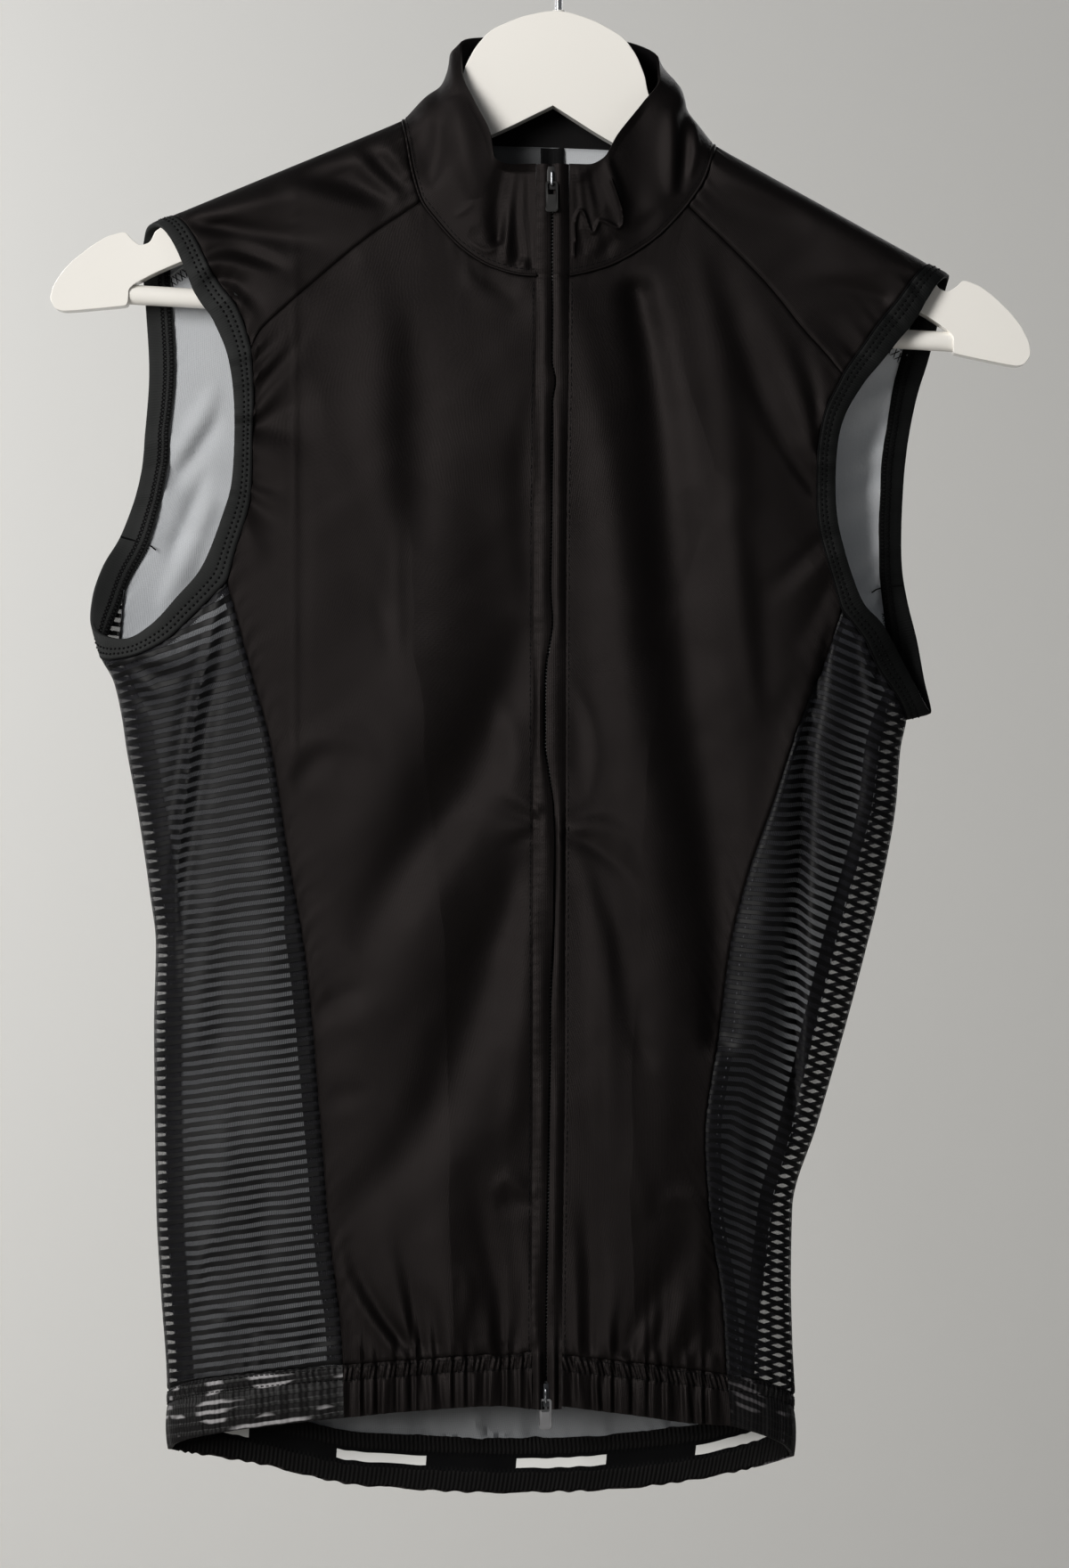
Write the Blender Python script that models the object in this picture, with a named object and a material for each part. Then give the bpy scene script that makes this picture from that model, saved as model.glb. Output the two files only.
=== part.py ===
"""A black cycling gilet that hangs on a white plastic hanger.

Sizes are in millimetres until a mesh is made. X runs to the viewer's right, Y away from the viewer and Z up.
The origin is where the rail touches the inside of the hook. Heights are given as `down`, the distance below it.

The outlines are given as they look from the front, measured in the hanger's plane. A point that lies nearer to the
viewer than that plane is really a little closer to the line of sight, and to_true() moves it there.
"""

import math

import bmesh
import bpy
import numpy as np
from mathutils import Matrix, Vector

# --- driving sizes -------------------------------------------------------------------------------------------------
VIEW_DISTANCE = 1900.0
VIEW_X, VIEW_DOWN = -10.3, 386.0

WALL = 1.2  # cloth
GAP = 0.3  # between pieces that are sewn together
SIDE_LOWERED = 0.3  # how much more room a side panel leaves for the binding at its top
SEAM_SIDE = 0.2  # from a seam's line to the binding or the collar that is sewn on there
BAND_WALL = 2.0  # the folded armhole binding
BAND_RAISE = 0.4  # how far the binding stands above the panel it edges

PLATE_TOP_DOWN = 55.0  # the hanger's top below the rail
HANGER_THICK = 10.0
HANGER_EDGE = 3.0  # radius of its rounded edges
ARM_SLOPE = math.radians(25.7)
HANGER_TILT = math.radians(3.3)  # the right arm hangs lower
ARM_APEX = 19.2  # below the plate's top, where the two shoulder lines would meet
ARM_UNDER = 2.7  # the arm's top below the outside of the cloth that rests on it
SHOULDER_ROUND = 10.5  # radius of the cloth over the arm
SHOULDER_REACH = 160.0  # distance below the shoulder over which the bag opens to its full depth
SECTION_FULLNESS = 1.6  # how soon the section reaches its full depth from the side edge

YOKE_COLUMNS, YOKE_ROWS, NECK_COLUMNS = 6, 14, 5
ARM_ROWS, SIDE_ROWS, SIDE_COLUMNS = 6, 17, 9
COLLAR_ROWS = 4
RUFFLE_PITCH, RUFFLE_HEIGHT, RUFFLE_STEPS = 6.2, 0.9, 4


def table(names, *rows):
    """Rows of numbers under named columns."""
    return dict(zip(names.split(), np.array(rows, float).T))


# The side edges of the bag. Above the underarm they only set how the front and back round away.
OUTLINE = table(
    "down left right",
    (150, -217.0, 187.0),
    (230, -216.0, 186.0),
    (255, -212.0, 181.0),
    (281, -207.0, 171.0),
    (297, -202.0, 163.5),
    (311, -199.0, 158.0),
    (330, -197.0, 153.5),
    (342, -191.0, 151.5),
    (358, -187.4, 149.6),
    (371, -185.5, 146.9),
    (394, -181.3, 145.0),
    (432, -175.6, 138.1),
    (455, -172.9, 132.5),
    (490, -173.7, 123.2),
    (532, -173.3, 111.1),
    (568, -172.7, 100.4),
    (600, -171.0, 99.8),
    (646, -167.9, 101.0),
    (700, -167.0, 101.0),
)

# Depth of the bag in front of and behind its middle, and where that middle lies.
DEPTH = table(
    "down front back middle",
    (100, 18.0, 9.5, 0.0),
    (168, 19.0, 10.0, 0.0),
    (250, 22.0, 11.0, 1.0),
    (330, 25.0, 11.0, 3.0),
    (450, 25.0, 11.0, 3.0),
    (600, 23.0, 11.0, 2.5),
    (655, 21.0, 11.0, 2.0),
    (700, 21.0, 11.0, 2.0),
)

# Seams, as (x, down) points on the front or the back.
FRONT_YOKE = {
    "left": [(-59.3, 135.7), (-81.9, 151.0), (-102.1, 167.5), (-117.4, 180.8), (-127.8, 190.8), (-132.3, 199.2)],
    "right": [(55.5, 137.2), (73.8, 154.8), (90.3, 171.7), (104.4, 189.3), (114.8, 200.7), (122.4, 210.3)],
}
BACK_YOKE = {
    "left": [(-61.6, 107.0), (-83.0, 118.5), (-106.0, 130.7), (-128.9, 143.7), (-149.9, 156.0), (-169.1, 169.8)],
    "right": [(62.3, 120.0), (81.5, 137.6), (100.6, 156.7), (117.8, 172.8), (135.0, 188.9), (149.6, 202.6)],
}
FRONT_NECK = {
    "left": [(-9.6, 167.5), (-17.2, 167.1), (-30.6, 162.9), (-42.1, 155.2), (-49.7, 147.2), (-59.3, 135.7)],
    "right": [(4.6, 167.5), (12.6, 165.9), (25.2, 161.7), (42.1, 151.0), (55.5, 137.2)],
}
RIDGE_NECK = {"left": (-66.6, (-63.9, 117.0)), "right": (66.9, (63.5, 123.8))}
BACK_NECK = [(-61.6, 107.0), (-37.1, 111.6), (-4.2, 113.1), (27.9, 114.7), (62.3, 120.0)]
FRONT_SEAM = {
    "left": table(
        "down x",
        (298.7, -142.7),
        (320.1, -136.9),
        (341.5, -131.2),
        (368.6, -123.9),
        (411.5, -117.0),
        (465.8, -108.2),
        (534.3, -102.1),
        (582.5, -98.3),
        (623.4, -93.3),
        (658.2, -92.2),
    ),
    "right": table(
        "down x",
        (311.3, 122.0),
        (340.0, 112.1),
        (365.2, 102.1),
        (395.4, 91.8),
        (429.1, 79.9),
        (455.9, 73.4),
        (496.4, 68.5),
        (538.5, 63.1),
        (572.5, 65.4),
        (604.3, 70.0),
        (661.6, 73.8),
    ),
}
# The seam of side panel and back, as its distance from the side edge: negative, because it lies behind it.
BACK_SEAM = {
    "left": table("down inset", (296.7, -15.9), (312, -11.0), (335, -7.5), (365, -5.5), (480, -4.5), (700, -4.0)),
    "right": table("down inset", (325.8, -10.2), (342, -9.2), (362, -8.4), (390, -7.6), (480, -6.0), (700, -5.0)),
}
STITCH_LINE = {
    "left": table("down x", (119, -9.6), (168, -9.6), (287, -10.7), (509, -11.1), (623, -11.5), (700, -11.2)),
    "right": table("down x", (119, 4.6), (168, 4.6), (287, 3.4), (509, 2.7), (623, 1.5), (700, 1.3)),
}
ZIP_LINE = table("down x", (119, -2.9), (168, -2.9), (287, -4.0), (509, -4.4), (623, -5.5), (700, -5.6))

# The armhole as a loop of rows from the shoulder ridge down its front and up its back. `face` is 1 in front, -1
# behind and 0 on the ridge or the side edge; there the surface sets `down` or `x`. The binding's rim lies at `draw`
# times the body edge's distance from the middle of the bag.
ARMHOLE = {
    "left": table(
        "face x down rim_x rim_down draw",
        (0, -167.2, 0, -174.4, 145.3, 1.0),
        (1, -151.1, 162.5, -158.7, 168.2, 1.0),
        (1, -138.1, 182.0, -147.6, 187.3, 1.0),
        (1, -132.3, 199.2, -141.5, 202.6, 1.0),
        (1, -131.2, 223.3, -138.8, 224.1, 1.0),
        (1, -132.0, 254.3, -139.6, 253.5, 1.0),
        (1, -134.6, 271.5, -143.4, 269.2, 1.0),
        (1, -142.7, 298.7, -152.6, 292.5, 1.0),
        (1, -156.4, 312.4, -163.7, 306.0, 1.0),
        (1, -170.6, 325.0, -174.4, 317.5, 1.0),
        (1, -186.3, 331.5, -186.3, 324.0, 0.9),
        (0, -196.9, 330.5, -199.6, 320.0, 1.0),
        (-1, -193.2, 313.6, -200.0, 306.7, 0.35),
        (-1, -186.3, 296.7, -195.1, 292.4, 0.75),
        (-1, -177.9, 281.1, -187.0, 278.7, 1.0),
        (-1, -170.6, 254.3, -179.4, 256.2, 1.0),
        (-1, -168.7, 231.7, -176.8, 233.2, 1.0),
        (-1, -166.8, 209.1, -175.2, 209.1, 1.0),
        (-1, -167.9, 183.5, -176.7, 181.6, 1.0),
        (-1, -169.1, 169.8, -177.9, 167.5, 1.0),
        (-1, -168.8, 154.8, -177.6, 153.2, 1.0),
    ),
    "right": table(
        "face x down rim_x rim_down draw",
        (0, 159.5, 0, 167.2, 167.5, 1.0),
        (1, 149.6, 173.2, 156.4, 180.5, 1.0),
        (1, 134.6, 192.7, 143.4, 198.1, 1.0),
        (1, 122.4, 210.3, 130.4, 214.1, 1.0),
        (1, 114.0, 229.0, 121.6, 230.2, 1.0),
        (1, 111.3, 250.5, 118.7, 249.7, 1.0),
        (1, 112.5, 277.6, 119.9, 275.3, 1.0),
        (1, 122.0, 311.3, 129.3, 305.9, 1.0),
        (1, 131.6, 323.5, 139.2, 318.0, 0.85),
        (1, 140.8, 341.1, 149.6, 337.3, 0.6),
        (0, 149.6, 358.3, 159.4, 355.6, 1.0),
        (-1, 147.0, 342.3, 156.6, 341.1, 0.4),
        (-1, 144.2, 325.8, 153.4, 323.8, 0.6),
        (-1, 141.9, 310.9, 149.6, 308.7, 0.8),
        (-1, 139.6, 292.5, 146.9, 292.4, 1.0),
        (-1, 139.6, 270.0, 146.9, 270.0, 1.0),
        (-1, 141.1, 244.3, 148.8, 244.3, 1.0),
        (-1, 145.0, 220.2, 153.0, 221.2, 1.0),
        (-1, 149.6, 202.6, 158.4, 203.6, 1.0),
        (-1, 155.3, 181.6, 163.3, 183.5, 1.0),
    ),
}
# Rows of ARMHOLE where one panel's edge ends and the next begins.
ARM_CORNERS = {
    "left": {"front_yoke": 3, "front_seam": 7, "back_seam": 13, "back_yoke": 19},
    "right": {"front_yoke": 3, "front_seam": 7, "back_seam": 12, "back_yoke": 18},
}

FRONT_HEM_TOP = {"left": (635.6, 629.9), "right": (639.8, 631.4)}  # at the side seam, and at the zip
FRONT_HEM_EDGE = {
    "left": [(-92.2, 658.2), (-64.3, 655.5), (-25.6, 653.2), (-11.2, 654.4)],
    "right": [(73.8, 661.6), (56.2, 660.5), (34.4, 657.4), (15.3, 655.0), (1.4, 653.2)],
}
SIDE_HEM_TOP = {"left": 646.3, "right": 648.3}  # at the side edge
SIDE_HEM_EDGE = {"left": 671.6, "right": 674.6}
BACK_HEM_TOP = [(-167.2, 646.3), (-125.1, 655.1), (-85.3, 663.9), (-10.3, 666.6), (34.4, 663.6), (63.5, 660.1),
                (101.0, 648.3)]
BACK_HEM_EDGE = [(-167.2, 671.6), (-125.1, 678.5), (-107.1, 683.0), (-85.3, 686.9), (-25.6, 690.0), (15.3, 689.2),
                 (44.4, 686.5), (83.0, 679.6), (101.0, 674.6)]

# The collar's top edge, with the place along the neck seam (0 at the zip's left, 1 at its right) that it stands over.
COLLAR_TOP = table(
    "share x down y",
    (0.00, -9.6, 119.6, -20.0),
    (0.05, -20.0, 119.8, -20.0),
    (0.10, -27.2, 117.2, -19.0),
    (0.16, -29.5, 106.0, -17.5),
    (0.22, -36.5, 92.0, -14.5),
    (0.28, -41.5, 80.0, -9.5),
    (0.33, -41.5, 70.5, 0.0),
    (0.40, -30.0, 65.3, 8.5),
    (0.50, 0.0, 64.4, 11.5),
    (0.60, 28.7, 67.2, 9.5),
    (0.67, 43.0, 74.5, 0.0),
    (0.72, 43.5, 83.0, -9.5),
    (0.78, 36.5, 93.0, -14.5),
    (0.85, 25.5, 107.0, -17.5),
    (0.91, 19.5, 117.0, -19.0),
    (0.95, 13.0, 119.8, -20.0),
    (1.00, 4.6, 119.6, -20.0),
)
COLLAR_GATHERS = {"count": 5, "pitch": 6.0, "height": 0.9, "reach": 30.0}

# Troughs of the front, or ridges if the depth is negative: a line from one point to another, its half width and depth.
FOLDS = table(
    "x0 down0 x1 down1 width depth",
    (-15, 337, -62, 420, 15, 4.0),
    (-62, 420, -100, 500, 15, 4.0),
    (-30, 250, -55, 330, 16, -2.0),
    (29, 250, 44, 330, 12, 3.0),
    (44, 330, 72, 455, 12, 3.5),
    (14, 380, 30, 560, 10, 2.5),
    (26, 560, 34, 632, 8, 3.0),
    (50, 560, 44, 632, 7, 2.5),
    (-36, 570, -42, 632, 8, 2.5),
    (-66, 590, -70, 632, 7, 2.5),
    (-147, 318, -154, 356, 8, -2.5),
    (-154, 356, -163, 437, 8, -3.0),
    (107, 365, 103, 409, 6, 4.0),
    (103, 409, 99, 455, 6, 5.0),
    (99, 455, 93, 540, 6, 4.5),
    (-96, 175, -70, 150, 8, 1.8),
    (92, 182, 66, 150, 8, 1.8),
)

SLIDER = {"top_down": 120.6, "bottom_down": 642.9}
SLIDER_LENGTH = 10.3
ZIP_GAP = 1.6  # between the plackets
ZIP_TAPE = {"half_width": 4.5, "thick": 1.4}
# The slider's arch, which holds the pull: `top` and `foot` are below the slider's top.
ARCH = {"half_width": 1.15, "web": 1.0, "top": 2.2, "foot": 8.9, "leg": 0.9, "clear": 1.5, "strip": 0.8, "plate": 0.8}
WINGS = {"half_width": 3.5, "thick": 2.2}
PULL = {"half_width": 2.75, "window": 1.6, "bar": 0.9, "window_height": 4.6, "length": 12.6, "thick": 0.9,
        "top_cut": 0.7, "foot_cut": 1.2, "window_cut": 0.4}
LABEL = {"left": -7.6, "right": 2.3, "top": 114.6, "foot": 128.0}
BAR = {"below": 131.3, "radius": 4.25, "sides": 12, "reach": 176.9}
# The wire hook. `start` and `sweep` are the angles at which its round part leaves the stem and ends.
HOOK = {"radius": 18.6, "wire": 1.6, "sides": 8, "straight": 8.0, "lead": 2.5, "start": -68.0, "sweep": 262.0}
COLOURS = {
    "cloth": ((0.020, 0.018, 0.018), 0.5, 0.0),
    "side": ((0.035, 0.035, 0.040), 0.45, 0.0),
    "binding": ((0.015, 0.016, 0.017), 0.7, 0.0),
    "gripper": ((0.018, 0.019, 0.024), 0.6, 0.0),
    "label": ((0.010, 0.010, 0.010), 0.6, 0.0),
    "zip": ((0.012, 0.012, 0.012), 0.5, 0.0),
    "hanger": ((0.80, 0.80, 0.78), 0.25, 0.0),
    "steel": ((0.60, 0.60, 0.60), 0.3, 1.0),
    "dark metal": ((0.05, 0.05, 0.05), 0.35, 0.6),
    "pale metal": ((0.40, 0.40, 0.41), 0.3, 0.9),
}


# --- curves --------------------------------------------------------------------------------------------------------
def smooth(stops, values, at):
    """A curve through the values that doesn't swing past them (a monotone cubic)."""
    at = np.clip(np.asarray(at, float), stops[0], stops[-1])
    step = np.diff(stops)
    rise = np.diff(values) / step
    slope = np.concatenate([rise[:1], np.zeros(len(stops) - 2), rise[-1:]])
    same = rise[:-1] * rise[1:] > 0
    slope[1:-1][same] = 2 * rise[:-1][same] * rise[1:][same] / (rise[:-1] + rise[1:])[same]
    i = np.clip(np.searchsorted(stops, at) - 1, 0, len(step) - 1)
    t = (at - stops[i]) / step[i]
    cubic = (2 * t**3 - 3 * t**2 + 1) * values[i] + (3 * t**2 - 2 * t**3) * values[i + 1]
    return cubic + step[i] * ((t**3 - 2 * t**2 + t) * slope[i] + (t**3 - t**2) * slope[i + 1])


def spline(points, at):
    """Points of a Catmull-Rom curve at row numbers that need not be whole."""
    points = np.asarray(points, float)
    padded = np.vstack([2 * points[0] - points[1], points, 2 * points[-1] - points[-2]])
    i = np.clip(np.floor(at).astype(int), 0, len(points) - 2)
    t = (at - i)[:, None]
    a, b, c, d = padded[i], padded[i + 1], padded[i + 2], padded[i + 3]
    return 0.5 * (2 * b + (c - a) * t + (2 * a - 5 * b + 4 * c - d) * t**2 + (3 * b - a - 3 * c + d) * t**3)


def even_rows(points, count):
    """Row numbers that divide the curve through the points into equal lengths."""
    fine = np.linspace(0, len(points) - 1, 40 * len(points))
    steps = np.linalg.norm(np.diff(spline(points, fine), axis=0), axis=1)
    length = np.concatenate([[0], np.cumsum(steps)])
    return np.interp(np.linspace(0, length[-1], count + 1), length, fine)


def divided(points, count):
    return spline(points, even_rows(points, count))


# --- the bag: the garment's outer surface --------------------------------------------------------------------------
def ridge_down(x):
    """Height of the cloth where it lies over the hanger's arms."""
    apex_x = -ARM_APEX * math.sin(HANGER_TILT)
    apex_down = PLATE_TOP_DOWN + ARM_APEX * math.cos(HANGER_TILT)
    slope = np.where(x < apex_x, math.tan(ARM_SLOPE - HANGER_TILT), math.tan(ARM_SLOPE + HANGER_TILT))
    return apex_down + slope * np.abs(x - apex_x)


def edges_at(down):
    left = smooth(OUTLINE["down"], OUTLINE["left"], down)
    right = smooth(OUTLINE["down"], OUTLINE["right"], down)
    return (left + right) / 2, (right - left) / 2


def fold_depth(x, down):
    """How far the front is pushed in by its folds."""
    total = np.zeros(np.broadcast(x, down).shape)
    for x0, down0, x1, down1, width, depth in zip(*FOLDS.values()):
        run, fall = x1 - x0, down1 - down0
        along = np.clip(((x - x0) * run + (down - down0) * fall) / (run**2 + fall**2), 0, 1)
        away = np.hypot(x - x0 - along * run, down - down0 - along * fall)
        total += depth * np.exp(-((away / width) ** 2))
    return total


def surface_y(x, down, face):
    """Y of the front (face 1) or the back (face -1), as seen from the front."""
    middle_x, half = edges_at(down)
    across = np.sqrt(np.clip(1 - ((x - middle_x) / half) ** 2, 0, 1))
    full = np.where(face > 0, smooth(DEPTH["down"], DEPTH["front"], down), smooth(DEPTH["down"], DEPTH["back"], down))
    opened = full * (1 - (1 - across) ** SECTION_FULLNESS)
    below = np.clip(down - ridge_down(x), 0, None)
    near = np.clip(below, 0, SHOULDER_ROUND)
    cap = np.sqrt(np.clip(2 * SHOULDER_ROUND * near - near**2, 0, None)) / SHOULDER_ROUND
    share = np.clip(below / SHOULDER_REACH, 0, 1)
    share = share**2 * (3 - 2 * share)
    depth = cap * (SHOULDER_ROUND + (opened - SHOULDER_ROUND) * share)
    pushed = np.where(face > 0, fold_depth(x, down) * np.clip(2 * across, 0, 1), 0) * cap
    return smooth(DEPTH["down"], DEPTH["middle"], down) - face * depth + pushed


def to_true(seen):
    """Seen (x, y, down) to the real point (x, y, z)."""
    x, y, down = np.moveaxis(np.asarray(seen, float), -1, 0)
    scale = 1 + y / VIEW_DISTANCE
    return np.stack([VIEW_X + (x - VIEW_X) * scale, y, -VIEW_DOWN - (down - VIEW_DOWN) * scale], -1)


def ring_point(turn_down):
    """A point of the bag by its turn round the section, 0 at the left edge, pi at the right, and its height."""
    turn, down = np.moveaxis(np.asarray(turn_down, float), -1, 0)
    middle_x, half = edges_at(down)
    x = middle_x - half * np.cos(turn)
    return to_true(np.stack([x, surface_y(x, down, np.where(np.sin(turn) >= 0, 1, -1)), down], -1))


def ring_at(x, down, face):
    """The (turn, down) of a point of the front or the back."""
    middle_x, half = edges_at(down)
    turn = np.arccos(np.clip(-(x - middle_x) / half, -1, 1))
    return np.stack([np.where(face > 0, turn, -turn), down + 0 * turn], -1)


def shoulder_point(x_over):
    """A point near the ridge by x and `over`: its square is the distance below the ridge, negative behind it."""
    x, over = np.moveaxis(np.asarray(x_over, float), -1, 0)
    down = ridge_down(x) + over**2
    return to_true(np.stack([x, surface_y(x, down, np.where(over >= 0, 1, -1)), down], -1))


def shoulder_at(x, down, face):
    below = np.clip(down - ridge_down(x), 0, None)
    return np.stack([x, np.sign(face) * np.sqrt(below)], -1)


def outward(surface, at, steps):
    """Unit normals of a surface, pointing out of the garment."""
    a, b = np.array([steps[0], 0]), np.array([0, steps[1]])
    normal = np.cross(surface(at + b) - surface(at - b), surface(at + a) - surface(at - a))
    return normal / np.linalg.norm(normal, axis=-1, keepdims=True)


RING = (ring_point, (0.02, 1.0))
SHOULDER = (shoulder_point, (1.0, 0.15))


def unit_cross(a, b):
    across = np.cross(a, b)
    return across / np.linalg.norm(across, axis=-1, keepdims=True)


LEAST_SINE = 0.25  # of a corner's angle, below which it is cut short


# --- panels --------------------------------------------------------------------------------------------------------
def coons(top, bottom, left, right):
    """The grid between four edges. Top and bottom run left to right, left and right run down."""
    u = np.linspace(0, 1, len(top))[None, :, None]
    v = np.linspace(0, 1, len(left))[:, None, None]
    across = (1 - u) * left[:, None] + u * right[:, None]
    along = (1 - v) * top[None] + v * bottom[None]
    corners = (1 - v) * ((1 - u) * top[0] + u * top[-1]) + v * ((1 - u) * bottom[0] + u * bottom[-1])
    return across + along - corners


def drawn_in(points, amount, sides="tblr"):
    """The grid with its border moved inwards, within its own surface. A corner moves along the grid's other border."""
    moved = points.copy()
    for side, axis, end, inner in (("t", 0, 0, 1), ("b", 0, -1, -2), ("l", 1, 0, 1), ("r", 1, -1, -2)):
        if side not in sides:
            continue
        edge = points.take(end, axis)
        tangent = np.gradient(edge, axis=0)
        tangent /= np.linalg.norm(tangent, axis=-1, keepdims=True)
        across = points.take(inner, axis) - edge
        square = across - tangent * (across * tangent).sum(-1, keepdims=True)
        size = np.linalg.norm(square, axis=-1, keepdims=True)
        way = square * amount / size
        for corner in (0, -1):
            reach = max(size[corner], LEAST_SINE * np.linalg.norm(across[corner]))
            way[corner] = across[corner] * amount / reach
        if axis == 0:
            moved[end] += way
        else:
            moved[:, end] += way
    return moved


def closed_wall(name, outer, inner, colour):
    """One closed body between two grids of the same size."""
    rows, columns = outer.shape[:2]
    mesh = bmesh.new()
    made = [[[mesh.verts.new(Vector(p) * 0.001) for p in row] for row in grid] for grid in (outer, inner)]
    front, back = made
    for i in range(rows - 1):
        for j in range(columns - 1):
            mesh.faces.new((front[i][j], front[i + 1][j], front[i + 1][j + 1], front[i][j + 1]))
            mesh.faces.new((back[i][j], back[i][j + 1], back[i + 1][j + 1], back[i + 1][j]))
    for j in range(columns - 1):
        mesh.faces.new((front[0][j], front[0][j + 1], back[0][j + 1], back[0][j]))
        mesh.faces.new((front[-1][j + 1], front[-1][j], back[-1][j], back[-1][j + 1]))
    for i in range(rows - 1):
        mesh.faces.new((front[i + 1][0], front[i][0], back[i][0], back[i + 1][0]))
        mesh.faces.new((front[i][-1], front[i + 1][-1], back[i + 1][-1], back[i][-1]))
    return finished(name, mesh, colour)


def finished(name, mesh, colour, sharp=35):
    """An object of its own from a bmesh, shaded smooth, with its material."""
    bmesh.ops.recalc_face_normals(mesh, faces=mesh.faces)
    data = bpy.data.meshes.new(name)
    mesh.to_mesh(data)
    mesh.free()
    data.shade_smooth()
    data.set_sharp_from_angle(angle=math.radians(sharp))
    data.materials.append(material(colour))
    made = bpy.data.objects.new(name, data)
    bpy.context.collection.objects.link(made)
    return made


def material(colour):
    found = bpy.data.materials.get(colour)
    if found:
        return found
    rgb, roughness, metallic = COLOURS[colour]
    made = bpy.data.materials.new(colour)
    made.use_nodes = True
    shader = made.node_tree.nodes["Principled BSDF"]
    shader.inputs["Base Color"].default_value = (*rgb, 1)
    shader.inputs["Roughness"].default_value = roughness
    shader.inputs["Metallic"].default_value = metallic
    made.diffuse_color = (*rgb, 1)
    return made


def panel(name, kind, grid, colour="cloth", wave=None, wall=WALL, under=0.0, sides="tblr", lowered=0.0):
    """A wall on the bag's surface. `wave` adds a height to each point, `under` puts the wall behind the surface."""
    surface, steps = kind
    normals = outward(surface, grid, steps)
    points = drawn_in(drawn_in(surface(grid), GAP / 2, sides), lowered, "t")
    height = -under if wave is None else (wave - under)[..., None]
    outer = points + normals * height
    return closed_wall(name, outer, outer - normals * wall, colour)


def arm_part(side, first, last):
    """The body edge between two rows of ARMHOLE: its (x, down) points and the face that each lies on."""
    loop = ARMHOLE[side]
    x, down, face = loop["x"].copy(), loop["down"].copy(), loop["face"]
    down[0] = ridge_down(x[0])
    rows = np.arange(len(x) + 1) % len(x)
    body = np.stack([x[rows], down[rows]], -1)[first : last + 1]
    return body, face[rows][first : last + 1]


def armhole_stations(side):
    """The loop of body-edge points, each with the piece it edges: arrays of bag or shoulder coordinates."""
    corners = ARM_CORNERS[side]
    end = len(ARMHOLE[side]["x"])

    def ring_rows(first, last):
        body, face = arm_part(side, first, last)
        at = ring_at(body[:, 0], body[:, 1], np.where(face == 0, 1, face))
        at[face == 0, 0] = 0.0 if side == "left" else np.pi
        if side == "right":
            at[:, 0] = np.where(at[:, 0] < 0, at[:, 0] + 2 * np.pi, at[:, 0])
        return at

    def sampled(at, scale, count):
        rows = even_rows(at * scale, count)
        return spline(at, rows), rows

    parts = {}
    for name, first, last, count in (
        ("front", corners["front_yoke"], corners["front_seam"], ARM_ROWS),
        ("side", corners["front_seam"], corners["back_seam"], SIDE_COLUMNS),
        ("back", corners["back_seam"], corners["back_yoke"], ARM_ROWS),
    ):
        at, rows = sampled(ring_rows(first, last), np.array([60.0, 1.0]), count)
        parts[name] = {"at": at, "rows": rows + first, "kind": RING}
    body, face = arm_part(side, corners["back_yoke"], end)
    body_front, face_front = arm_part(side, 0, corners["front_yoke"])
    body = np.vstack([body, body_front[1:]])
    face = np.concatenate([face, face_front[1:]])
    at = shoulder_at(body[:, 0], body[:, 1], face)
    at, rows = sampled(at, np.array([1.0, 4.4]), YOKE_ROWS)
    parts["yoke"] = {"at": at, "rows": rows + corners["back_yoke"], "kind": SHOULDER}
    return parts


def seam_points(curve, face, kind):
    curve = np.asarray(curve)
    at = ring_at if kind is RING else shoulder_at
    return at(curve[:, 0], curve[:, 1], np.full(len(curve), face))


def front_seam(side, count):
    seam = FRONT_SEAM[side]
    down = np.linspace(seam["down"][0], FRONT_HEM_TOP[side][0], count + 1)
    return ring_at(smooth(seam["down"], seam["x"], down), down, np.ones(count + 1))


def back_seam_turn(side, down):
    seam = BACK_SEAM[side]
    inset = smooth(seam["down"], seam["inset"], down)
    half = edges_at(down)[1]
    turn = np.sign(inset) * np.arccos(1 - np.abs(inset) / half)
    return turn if side == "left" else np.pi - turn


def back_seam(side, count):
    down = np.linspace(BACK_SEAM[side]["down"][0], SIDE_HEM_TOP[side], count + 1)
    return np.stack([back_seam_turn(side, down), down], -1)


def front_panel(side, arm):
    """Left to right in the grid is from the armhole to the zip on both sides."""
    yoke = divided(FRONT_YOKE[side], YOKE_COLUMNS)[::-1]
    neck = divided(FRONT_NECK[side], NECK_COLUMNS)[::-1]
    top = seam_points(np.vstack([yoke, neck[1:]]), 1, RING)
    outer = np.vstack([arm["front"]["at"], front_seam(side, SIDE_ROWS)[1:]])
    down = np.linspace(FRONT_NECK[side][0][1], FRONT_HEM_TOP[side][1], len(outer))
    stitch = STITCH_LINE[side]
    centre = ring_at(smooth(stitch["down"], stitch["x"], down), down, np.ones(len(down)))
    share = np.linspace(0, 1, len(top))[:, None]
    bottom = outer[-1] + (centre[-1] - outer[-1]) * share
    return panel(f"front_{side}", RING, coons(top, bottom, outer, centre))


def yoke(side, arm):
    """Rows run over the shoulder from the front seam to the back seam, columns from the neck to the armhole."""
    front = seam_points(divided(FRONT_YOKE[side], YOKE_COLUMNS), 1, SHOULDER)
    back = seam_points(divided(BACK_YOKE[side], YOKE_COLUMNS), -1, SHOULDER)
    neck = yoke_neck(side)
    return panel(f"yoke_{side}", SHOULDER, coons(front, back, neck, arm["yoke"]["at"][::-1]))


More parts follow.
